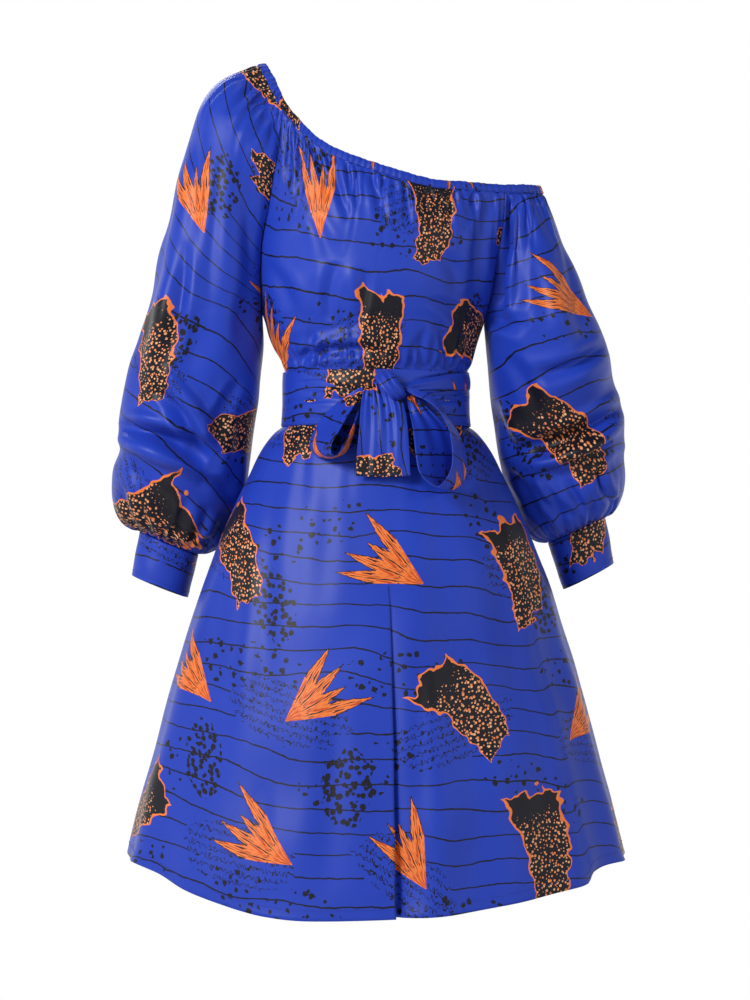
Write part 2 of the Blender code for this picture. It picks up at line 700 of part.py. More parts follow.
def waist_point(angle, z, side, out):
    """Point moved out from the cloth at the waist."""
    point = torso_point(angle, z, side)
    normal = np.array([math.sin(angle), side * math.cos(angle), 0])
    point += normal * out
    point[1] += side * SEAM_GAP * abs(math.cos(angle))
    return point


def add_sash(collection):
    """Sash round the waist, and its second layer from the knot to the right."""
    heights = (SASH_TOP, WAIST_HEIGHT, SASH_BOTTOM)
    front = front_angles()
    back = back_angles()[::-1][1:-1]
    rows = [
        [waist_point(angle, z, -1, SASH_CLEARANCE) for angle in front]
        + [waist_point(angle, z, 1, SASH_CLEARANCE) for angle in back]
        for z in heights
    ]
    add_grid("sash_band", rows, collection, DOUBLED_WALL, flip=True, outward=True, loop=True)
    clear = SASH_CLEARANCE + DOUBLED_WALL + SASH_CLEARANCE
    across = np.linspace(FOLD["angle"][0], FOLD["angle"][-1], FOLD_COLUMNS)
    rows = [
        [waist_point(math.radians(a), smooth(FOLD["angle"], FOLD[edge], a), -1, clear) for a in across]
        for edge in ("top", "bottom")
    ]
    add_grid("sash_fold", rows, collection, CLOTH_WALL, flip=True, outward=True)


def add_loops(collection):
    """Two bow loops, ribbons that run between their front and back rims."""
    for name, loop, steps in (("bow_loop_left", LOOP_LEFT, 26), ("bow_loop_right", LOOP_RIGHT, 34)):
        rims = []
        for rim in ("front", "back"):
            points = np.array([
                as_seen(x, y, z)
                for x, y, z in zip(loop[rim + "_x"], loop[rim + "_y"], loop[rim + "_z"])
            ])
            rims.append(along_points(points, steps))
        rows = []
        for front, back in zip(*rims):
            rows.append([front + (back - front) * part for part in (0.0, 0.34, 0.67, 1.0)])
        add_grid(name, rows, collection, CLOTH_WALL, flip=True)


def along_points(points, steps):
    """Catmull-Rom curve through points, in even steps of their numbers."""
    padded = np.vstack((2 * points[0] - points[1], points, 2 * points[-1] - points[-2]))
    found = []
    for place in np.linspace(0, len(points) - 1, steps):
        i = min(int(place), len(points) - 2)
        found.append(catmull(*padded[i:i + 4], place - i))
    return np.array(found)


def add_tail(collection):
    """Hanging end of the sash, gathered into the knot."""
    rows = []
    for place in np.linspace(0, len(TAIL["z"]) - 1, 9):
        left, right = by_row(TAIL, "left", place), by_row(TAIL, "right", place)
        y, z = by_row(TAIL, "y", place), by_row(TAIL, "z", place)
        row = []
        for part in np.linspace(0, 1, 13):
            fold = TAIL_FOLD_DEPTH * math.cos(2 * math.pi * TAIL_FOLDS * part) * (1 - 0.15 * place)
            row.append(as_seen(left + (right - left) * part, y - fold, z))
        rows.append(row)
    add_grid("sash_tail", rows, collection, DOUBLED_WALL, flip=True)


def add_knot(collection):
    """Knot: a soft form with grooves where the cloth turns over, narrower where it rises."""
    bpy.ops.mesh.primitive_uv_sphere_add(segments=24, ring_count=12, radius=1)
    made = bpy.context.active_object
    made.name = made.data.name = "bow_knot"
    for holder in list(made.users_collection):
        holder.objects.unlink(made)
    collection.objects.link(made)
    centre = as_seen(*KNOT_CENTRE)
    for vertex in made.data.vertices:
        x, y, z = vertex.co
        pinch = 1 - KNOT_GROOVE_DEPTH / KNOT_SIZE[1] * math.cos(math.pi * KNOT_GROOVES * z) * (1 - z * z)
        narrow = 1 - KNOT_NARROWING * max(z, 0)
        size = np.array(KNOT_SIZE) * np.array([narrow, pinch * narrow, 1])
        if z > 0:
            size[2] = KNOT_RISE
        squared = np.sign((x, y, z)) * np.abs((x, y, z)) ** 0.8
        vertex.co = (centre + squared * size - np.array(CARRIED_AT)) * MM
    made.data.shade_smooth()
    made.data.materials.append(cloth_material("bow_knot", (0.03, 0.06, 0.5), 0.55))


def main():
    for old in list(bpy.data.objects):
        bpy.data.objects.remove(old, do_unlink=True)
    collection = bpy.data.collections.new(DRESS)
    bpy.context.scene.collection.children.link(collection)
    add_bodice(collection)
    add_skirt(collection)
    add_sleeves(collection)
    add_cuffs(collection)
    add_casing(collection)
    add_sash(collection)
    add_loops(collection)
    add_tail(collection)
    add_knot(collection)


main()
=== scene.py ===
import functools
import math

import bpy
import numpy as np
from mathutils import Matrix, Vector


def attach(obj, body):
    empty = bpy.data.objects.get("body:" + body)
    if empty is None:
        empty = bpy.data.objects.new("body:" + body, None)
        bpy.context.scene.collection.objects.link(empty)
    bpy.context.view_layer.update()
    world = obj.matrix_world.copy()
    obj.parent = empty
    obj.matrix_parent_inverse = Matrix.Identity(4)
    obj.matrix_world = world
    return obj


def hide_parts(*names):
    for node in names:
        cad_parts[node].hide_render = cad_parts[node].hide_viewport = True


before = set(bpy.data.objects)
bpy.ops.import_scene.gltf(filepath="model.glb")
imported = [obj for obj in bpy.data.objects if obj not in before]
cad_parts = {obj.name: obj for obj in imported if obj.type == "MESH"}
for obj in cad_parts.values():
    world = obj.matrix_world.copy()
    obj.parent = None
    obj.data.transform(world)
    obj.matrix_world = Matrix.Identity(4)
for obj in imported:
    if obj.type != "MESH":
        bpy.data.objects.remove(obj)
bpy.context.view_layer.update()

# Looks of a one-shoulder cotton dress: printed shells on the solids of the frame, with their
# creases, stitches, floor, lights and camera. Tables are in millimetres from the centre line.
print("frame loaded:", len(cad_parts), "nodes")

mm = 0.001
shoulderX = -143.0      # where the covered shoulder carries the dress, from the centre line


def table(names, rows):
    return dict(zip(names.split(), np.array(rows, float).T))


# Forms of the solids: the same named sections as the frame was made from.
waist = {
    "height": -418.0, "sashTop": -384.0, "sashBottom": -451.0, "clearance": 0.5,
    "seamGap": 0.3, "doubledWall": 2.0,
}
torso = table("z left right front back", [
    (-451, 116, 116, 90, 84), (-418, 114.5, 114.5, 88.5, 82.5), (-384, 114, 114, 88, 82),
    (-371, 117, 119.5, 92, 86), (-352, 128, 125, 98, 89), (-338, 134, 129.5, 102, 91.5),
    (-322, 138, 135, 105, 93), (-309, 142, 139, 108, 95), (-268, 147, 153, 113, 99),
    (-228, 150, 164, 113, 103),
    (-187, 150, 177, 106, 104), (-145, 150, 182, 93, 104), (-98, 147, 182, 79, 98),
    (-65, 145, 180, 70, 84), (0, 140, 176, 45, 60),
])
raglanLeft = table("z x", [
    (-309, -142), (-268, -142), (-228, -139.5), (-187, -130), (-145, -122), (-109, -114), (-60, -108),
])
raglanRight = table("z x", [
    (-322, 135), (-286, 143), (-238, 150), (-196, 156), (-158, 157),
])
neckEdge = np.array([
    (-137, 0, 2, -1, 0, -0.15), (-125, -22, -20, -1, -0.25, -0.35),
    (-111, -40, -52, -0.85, -0.3, -0.55), (-94, -55, -75, -0.65, -0.3, -0.75),
    (-73, -68, -98, -0.5, -0.3, -0.85), (-51, -78, -113, -0.35, -0.3, -0.95),
    (-22, -86, -126, -0.25, -0.28, -1), (29, -90, -143, -0.15, -0.25, -1),
    (70, -84, -153, -0.08, -0.22, -1), (106, -72, -154, 0, -0.18, -1),
    (152, -52, -155, 0.1, -0.15, -1), (184, -30, -152, 0.22, -0.12, -1),
    (205, 5, -149, 0.35, 0, -1), (186, 42, -146, 0.22, 0.12, -1), (150, 66, -142, 0.1, 0.12, -1),
    (100, 88, -136, 0, 0.1, -1), (40, 100, -126, -0.08, 0.1, -1), (-20, 98, -112, -0.2, 0.12, -1),
    (-70, 84, -90, -0.45, 0.2, -0.88), (-105, 56, -58, -0.8, 0.3, -0.6),
    (-128, 26, -18, -1, 0.25, -0.35),
], float)
neckCorners = {"frontLeft": 2.3, "frontRight": 10.12, "backRight": 13.9, "backLeft": 18.95}
casing = {"height": 11.0, "seamGap": 1.1, "inside": (20.0, 0.0, -260.0)}
sleeveLeft = table("outer_x outer_z inner_x inner_z middle_y depth", [
    (-148, 0, -108, -65, 0, 50), (-190, -17, -112, -100, 0, 62), (-215, -45, -119, -135, 0, 68),
    (-228, -82, -126, -170, 0, 71), (-240, -120, -133, -204, 0, 73), (-252, -170, -139, -239, 0, 75),
    (-270, -238, -142, -274, 0, 77), (-288, -310, -142, -309, 0, 78), (-297, -340, -141, -344, 4, 78),
    (-309, -376, -145, -384, 12, 79), (-319, -425, -149, -424, 24, 80), (-326, -464, -154, -461, 34, 80),
    (-330, -498, -158, -497, 44, 79), (-329, -528, -163, -530, 55, 77), (-324, -552, -174, -566, 64, 72),
    (-316, -568, -186, -592, 68, 62), (-304, -578, -204, -606, 68, 46),
    (-294.5, -580.5, -222.5, -610.5, 68, 31),
])
sleeveRight = table("outer_x outer_z inner_x inner_z middle_y depth", [
    (209, -160, 157, -169, 5, 53), (217, -177, 157, -191, 5, 58), (225, -197, 155, -213, 4, 62),
    (234, -220, 151, -235, 3, 66), (244, -243, 148, -256, 2, 70), (255, -269, 144, -278, 1, 73),
    (265, -295, 140, -300, 0, 76), (276, -322, 135, -322, 0, 78), (284, -345, 137, -349, 4, 78),
    (292, -371, 140, -382, 12, 79), (302, -404, 143, -418, 24, 80), (309, -438, 148, -452, 34, 81),
    (312, -470, 153, -484, 44, 80), (311, -505, 159, -515, 54, 78), (307, -530, 169, -546, 61, 74),
    (300, -549, 182, -575, 67, 65), (292, -559, 200, -592, 68, 48),
    (285.5, -561.5, 215.5, -595.5, 68, 31),
])
sleeveFoldsLeft = table("row_a turn_a row_b turn_b breadth depth", [
    (3.5, -0.42, 9.5, -0.5, 0.07, 4.5), (5.0, -0.12, 10.5, -0.2, 0.08, 4.0),
    (9.2, -0.2, 12.8, -0.78, 0.09, 7.0), (11.2, 0.05, 12.6, -0.45, 0.08, 8.0),
    (4.0, 0.35, 10.0, 0.45, 0.08, 5.0), (10.0, 0.15, 12.8, 0.7, 0.09, 7.0),
])
sleeveFoldsRight = table("row_a turn_a row_b turn_b breadth depth", [
    (0.8, -0.84, 7.5, -0.72, 0.08, 11.0), (4.0, -0.25, 9.0, -0.3, 0.08, 4.0),
    (9.6, -0.05, 12.0, -0.72, 0.09, 9.0), (12.4, -0.1, 13.2, -0.6, 0.08, 6.0),
    (1.0, 0.8, 7.0, 0.7, 0.09, 7.0), (9.4, 0.12, 12.5, 0.7, 0.09, 8.0),
])
bodiceFoldsFront = table("u_a v_a u_b v_b breadth depth", [
    (0.42, 0.28, 0.34, 0.62, 0.035, 3.0), (0.52, 0.25, 0.47, 0.5, 0.035, 2.2),
    (0.12, 0.3, 0.2, 0.62, 0.04, 3.0), (0.87, 0.28, 0.82, 0.66, 0.04, 3.5),
])
bodiceFoldsBack = table("u_a v_a u_b v_b breadth depth", [
    (0.16, 0.28, 0.22, 0.66, 0.045, 3.5), (0.46, 0.24, 0.5, 0.55, 0.05, 3.0),
    (0.84, 0.28, 0.78, 0.66, 0.045, 3.5),
])
cuffEnds = "outer_x outer_z inner_x inner_z"
cuffLeft = table(cuffEnds, [(-295, -581.5, -222, -611.5), (-305, -636, -235, -664)])
cuffRight = table(cuffEnds, [(286, -562.5, 215, -596.5), (297, -621, 234, -654)])
skirt = table("z width front back", [
    (-418, 114.5, 88.5, 82.5), (-451, 116, 90, 84), (-458, 125, 95, 88.5), (-472, 137, 102, 96),
    (-488, 147, 108, 103), (-511, 158, 114, 111), (-542, 173, 123, 121), (-611, 202, 141, 143),
    (-686, 227, 158, 162), (-792, 260, 179, 184), (-861, 277, 192, 197), (-917, 293, 203, 207),
    (-985, 310, 216, 218),
])
hemFront = table("angle height", [
    (-90, -979), (-67, -980), (-58, -987), (-44.5, -1004), (-24.5, -1026), (-15, -1029), (0, -1027),
    (15.7, -1022.5), (27.7, -1015), (47, -1002), (53, -998), (56, -986.5), (67, -980), (90, -979),
])
hemBack = table("angle height", [
    (-90, -979), (-67, -980), (-44, -1004), (-22, -1024), (0, -1028), (22, -1024), (44, -1004),
    (67, -980), (90, -979),
])
frontFlutes = table("angle breadth height", [
    (-66, 7, 11), (-44, 9, 6), (-20, 9, 3.5), (14, 5, 5), (33, 8, 4), (50, 7, 8), (69, 6, 12),
])
backFlutes = table("angle breadth height", [
    (-70, 7, 11), (-50, 8, 9), (-27, 9, 10), (-4, 8, 8), (19, 8, 10), (43, 8, 9), (67, 7, 11),
])
loopLeft = table("front_x front_z front_y back_x back_z back_y", [
    (-16.6, -408, -104, -16.7, -401, -99), (-23, -417, -110, -34, -410, -95),
    (-36, -437, -125, -63, -434, -92), (-47, -456, -138, -79, -459, -90),
    (-56, -472, -145, -83, -475, -94), (-56, -485, -146, -75, -487, -101),
    (-47, -486, -146, -56, -491, -107), (-39, -471, -142, -37, -482, -110),
    (-30, -454, -128, -27, -457, -106), (-19, -424, -101, -21, -428, -97),
])
loopRight = table("front_x front_z front_y back_x back_z back_y", [
    (37.0, -406, -104, 37.1, -400, -99), (47, -411, -112, 54, -406, -93), (62, -417, -122, 73, -415, -86),
    (79, -430, -134, 90, -439, -80), (91, -452, -144, 105, -462, -80), (96, -479, -150, 114, -492, -86),
    (94, -505, -152, 109, -520, -99), (79, -526, -152, 92, -532, -109), (63, -519, -150, 94, -525, -106),
    (53, -505, -146, 99, -508, -101), (49, -482, -140, 100, -484, -97), (46, -455, -126, 90, -455, -98),
    (42, -434, -107, 68, -430, -99), (38, -414, -102, 46, -411, -98),
])
eye = {"distance": 2800.0, "height": -542.0}


# Curves and surfaces that the forms share.
def smooth(xs, ys, x):
    if xs[0] > xs[-1]:
        xs, ys = xs[::-1], ys[::-1]
    steps = np.diff(xs)
    slopes = np.diff(ys) / steps
    tangents = np.concatenate(([slopes[0]], np.zeros(len(xs) - 2), [slopes[-1]]))
    same = slopes[1:] * slopes[:-1] > 0
    sums = np.where(same, slopes[1:] + slopes[:-1], 1)
    tangents[1:-1] = np.where(same, 2 * slopes[1:] * slopes[:-1] / sums, 0)
    x = np.clip(x, xs[0], xs[-1])
    i = np.clip(np.searchsorted(xs, x, side="right") - 1, 0, len(steps) - 1)
    t = (x - xs[i]) / steps[i]
    start = (1 + 2 * t) * (1 - t) ** 2 * ys[i] + t * (1 - t) ** 2 * steps[i] * tangents[i]
    end = t * t * (3 - 2 * t) * ys[i + 1] + t * t * (t - 1) * steps[i] * tangents[i + 1]
    return start + end


def byRow(columns, name, row):
    values = columns[name]
    return smooth(np.arange(len(values), dtype=float), values, row)


def spline(before, start, end, after, t):
    return 0.5 * (2 * start + (end - before) * t + (2 * before - 5 * start + 4 * end - after) * t * t
                  + (3 * start - before - 3 * end + after) * t ** 3)


def unit(vectors):
    return vectors / np.maximum(np.linalg.norm(vectors, axis=-1, keepdims=True), 1e-9)


def neckline(rows):     # upper edge of the neck elastic and the way the cloth leaves it
    rows = np.asarray(rows, float)
    i = np.floor(rows).astype(int)
    near = [neckEdge[(i + k) % len(neckEdge)] for k in (-1, 0, 1, 2)]
    found = spline(*near, (rows - i)[:, None])
    return found[:, :3], unit(found[:, 3:])


def neckRows(start, end, count):
    fine = np.linspace(start, end, 400)
    points = neckline(fine)[0]
    lengths = np.concatenate(([0], np.cumsum(np.linalg.norm(np.diff(points, axis=0), axis=1))))
    return np.interp(np.linspace(0, lengths[-1], count), lengths, fine)


def clothTop(rows):
    edge, away = neckline(rows)
    return edge + away * (casing["height"] + casing["seamGap"])


def torsoPoint(angle, z, side):
    names = ("left", "right", "front" if side < 0 else "back")
    left, right, depth = (smooth(torso["z"], torso[name], z) for name in names)
    width = np.where(angle < 0, left, right)
    return np.stack(np.broadcast_arrays(width * np.sin(angle), side * depth * np.cos(angle), z), -1)


def seamAngle(seam, z):
    sign = -1 if seam is raglanLeft else 1
    width = smooth(torso["z"], torso["left" if sign < 0 else "right"], z)
    found = np.arcsin(np.clip(smooth(seam["z"], seam["x"], z) / width, -1, 1))
    return np.where(z <= seam["z"][0], sign * math.pi / 2, found)


sideShare = 0.3         # share of a bodice column that is side seam
underSash = 0.1


def columnHeight(v, under, top):
    low = waist["height"] + (waist["sashTop"] - waist["height"]) * v / underSash
    middle = waist["sashTop"] + (under - waist["sashTop"]) * (v - underSash) / (sideShare - underSash)
    high = under + (top - under) * (v - sideShare) / (1 - sideShare)
    return np.where(v < underSash, low, np.where(v < sideShare, middle, high))


def foldDepth(folds, across, along, names, stretch):
    deep = np.zeros(np.broadcast(across, along).shape)
    for a0, a1, b0, b1, breadth, depth in zip(*(folds[name] for name in names)):
        startX, startY = a0, a1 * stretch
        runX, runY = b0 - startX, b1 * stretch - startY
        dx, dy = across - startX, along * stretch - startY
        part = (dx * runX + dy * runY) / (runX ** 2 + runY ** 2)
        held = np.clip(part, 0, 1)
        off = (dx - runX * held) ** 2 + (dy - runY * held) ** 2
        ends = np.exp(-((np.maximum(np.abs(part - 0.5) - 0.3, 0) / 0.25) ** 2))
        deep = deep + depth * ends * np.exp(-off / breadth ** 2)
    return deep


def uneven(part, count, seed):      # a wave of uneven pitch and height, as in gathers by hand
    dice = np.random.default_rng(seed)
    warp = 0
    for k in (1, 2, 3):
        warp = warp + dice.uniform(0.1, 0.45) / k * np.sin(2 * math.pi * (k * part * 1.7 + dice.random()))
    swell = 0.75 + 0.35 * np.sin(2 * math.pi * (part * count * 0.37 + dice.random()))
    return np.cos(2 * math.pi * (count * part + warp)) * swell


def bodiceGrid(across, up, side):
    names = ("frontLeft", "frontRight") if side < 0 else ("backLeft", "backRight")
    corners = [neckCorners[name] for name in names]
    rows = neckRows(corners[0], corners[1], 61)
    u, v = np.asarray(across, float)[None, :], np.asarray(up, float)[:, None]
    tops = clothTop(np.interp(u[0], np.linspace(0, 1, 61), rows))
    topZ = tops[:, 2]
    cornerZ = clothTop(np.array(corners))[:, 2]
    underZ = [raglanLeft["z"][0], raglanRight["z"][0]]
    shares = [(under - waist["height"]) / (z - waist["height"]) for under, z in zip(underZ, cornerZ)]
    under = waist["height"] + (shares[0] + u * (shares[1] - shares[0])) * (topZ - waist["height"])

    def onTorso(part):
        z = columnHeight(part, under, topZ)
        left = seamAngle(raglanLeft, columnHeight(part, underZ[0], cornerZ[0]))
        right = seamAngle(raglanRight, columnHeight(part, underZ[1], cornerZ[1]))
        return torsoPoint(left + u * (right - left), z, side)

    point = onTorso(v)
    height = (point[..., 2] - waist["height"]) / (topZ - waist["height"])
    point = point + (tops - onTorso(np.ones((1, 1)))) * height[..., None] ** 3
    folds = bodiceFoldsFront if side < 0 else bodiceFoldsBack
    trough = foldDepth(folds, u, v, ("u_a", "v_a", "u_b", "v_b", "breadth", "depth"), 0.9)
    trough = np.where(v > underSash, trough * np.sin(math.pi * u), 0)
    point[..., 1] += side * (waist["seamGap"] - trough)
    return point


pleat = {
    "x": 20.0, "opens": 0.34, "opening": 0.07, "start": -636.0, "depth": 15.0, "spread": 7.5,
    "hemSide": -985.0, "hemDrop": 42.0,
}


def pleatAngle():
    middle = (pleat["start"] + pleat["hemSide"]) / 2
    return math.degrees(math.asin(pleat["x"] / smooth(skirt["z"], skirt["width"], middle)))


def skirtGrid(angles, down, side, recess=None):
    flutes = frontFlutes if side < 0 else backFlutes
    v = np.asarray(down, float)[:, None]
    angle = np.atleast_2d(np.asarray(angles, float))
    hem = hemFront if side < 0 else hemBack
    bottom = smooth(hem["angle"], hem["height"], np.degrees(angle))
    z = waist["height"] - waist["seamGap"] * 2 + v * (bottom - waist["height"])
    level = waist["height"] + v * (pleat["hemSide"] - waist["height"])
    width = smooth(skirt["z"], skirt["width"], level)
    depth = smooth(skirt["z"], skirt["front" if side < 0 else "back"], level)
    loose = np.maximum(0, (waist["sashBottom"] - z) / (waist["sashBottom"] - pleat["hemSide"]))
    degrees = np.degrees(angle)
    out = np.zeros_like(z)
    for middle, breadth, height in zip(flutes["angle"], flutes["breadth"], flutes["height"]):
        out += height * np.exp(-(((degrees - middle) / breadth) ** 2)) * loose ** 1.1
    if recess is not None:
        run = pleat["start"] - pleat["hemSide"] + pleat["hemDrop"]
        fallen = np.clip((pleat["start"] - z) / run, 0, 1)
        out -= pleat["depth"] * fallen ** 0.8 * np.asarray(recess)[None, :]
    x = (width + out) * np.sin(angle)
    y = side * ((depth + out) * np.cos(angle) + waist["seamGap"])
    return np.stack(np.broadcast_arrays(x, y, z), -1)


def seenAt(points, depth):     # keeps a point's place in the front view when it lies at a depth
    scale = 1 + np.atleast_1d(depth) / eye["distance"]
    level = np.array([0, 0, eye["height"]])
    return (points - level) * np.concatenate(np.broadcast_arrays(scale, scale * 0 + 1, scale), -1) + level


capRows = 7             # rings of a sleeve that end at the raglan seams


def sleeveGrid(sleeve, seam, rows, turns):
    sign = -1 if seam is raglanLeft else 1
    edge = 0.0 if sign < 0 else 1.0
    gap = sign * waist["seamGap"] * 1.5
    if sign < 0:
        topRows = neckRows(neckCorners["frontLeft"], neckCorners["backLeft"] - len(neckEdge), 41)
    else:
        topRows = neckRows(neckCorners["frontRight"], neckCorners["backRight"], 41)
    top = clothTop(np.interp((turns + 1) / 2, np.linspace(0, 1, 41), topRows))
    top[:, 0] += gap * np.abs(turns) ** 4
    ends = [bodiceGrid([edge], [1.0], side)[0, 0] for side in (-1, 1)]
    chord = (ends[0] + ends[1]) / 2
    outer = np.array([sleeve["outer_x"][0], chord[1], sleeve["outer_z"][0]])
    rowZero = chord + (outer - chord) * np.cos(turns * math.pi / 2)[:, None]
    rowZero[:, 1] = chord[1] + (ends[1][1] - chord[1]) * np.sin(turns * math.pi / 2)

    def ring(row):
        middle = byRow(sleeve, "middle_y", row)
        far = np.array([byRow(sleeve, "outer_x", row), middle, byRow(sleeve, "outer_z", row)])
        depth = byRow(sleeve, "depth", row)
        if row <= capRows:
            v = 1 - row / capRows * (1 - sideShare)
            front, back = (bodiceGrid([edge], [v], side)[0, 0] for side in (-1, 1))
            front[0] += gap
            back[0] += gap
            if row > capRows - 0.01:
                front[1] = back[1] = middle
        else:
            front = np.array([byRow(sleeve, "inner_x", row), middle, byRow(sleeve, "inner_z", row)])
            back = front.copy()
        base = (front + back) / 2
        half = min(abs(front[1] - back[1]) / 2, depth)
        arc = math.pi - math.asin(half / depth)
        reach = (far - base) * np.array([1, 0, 1])
        radius = np.linalg.norm(reach) / (1 - math.cos(arc))
        along = unit(reach)
        centre = base + along * (-math.cos(arc)) * radius
        centre[1] = middle

        def onRing(part):
            part = np.asarray(part, float)[..., None]
            sideways = np.array([0, depth, 0]) * np.sin(part * arc)
            return centre + along * radius * np.cos(part * arc) + sideways

        point = onRing(turns)
        shift = np.where((turns < 0)[:, None], front - onRing(-1.0), back - onRing(1.0))
        return point + shift * np.abs(turns)[:, None] ** 2, centre, radius / depth

    zeroRing = ring(0.0)[0]
    found = []
    folds = sleeveFoldsLeft if sign < 0 else sleeveFoldsRight
    for row in rows:
        point, centre, squash = ring(row)
        if row < 2:
            point = point + (top - rowZero) * (1 - row / 2) ** 2
            point = point + (rowZero - zeroRing) * max(0.0, 1 - row) ** 2
        outward = unit((point - centre) * np.array([1, squash, 1]))
        columns = ("turn_a", "row_a", "turn_b", "row_b", "breadth", "depth")
        trough = foldDepth(folds, turns, row, columns, 0.16)
        point = point - outward * (trough * (1 - turns ** 4))[:, None]
        found.append(seenAt(point, byRow(sleeve, "middle_y", row) if row > capRows else 0))
    return np.array(found)


def cuffGrid(cuff, parts, turns):
    found = []
    for part in parts:
        outer = np.array([byRow(cuff, "outer_x", part), 68.0, byRow(cuff, "outer_z", part)])
        inner = np.array([byRow(cuff, "inner_x", part), 68.0, byRow(cuff, "inner_z", part)])
        centre = (outer + inner) / 2
        ring = centre + (outer - centre) * np.cos(turns)[:, None]
        found.append(seenAt(ring + np.array([0, 31.0, 0]) * np.sin(turns)[:, None], 68.0))
    return np.array(found)


def alongPoints(points, steps):
    padded = np.vstack((2 * points[0] - points[1], points, 2 * points[-1] - points[-2]))
    places = np.linspace(0, len(points) - 1, steps)
    i = np.minimum(places.astype(int), len(points) - 2)
    return spline(padded[i], padded[i + 1], padded[i + 2], padded[i + 3], (places - i)[:, None])


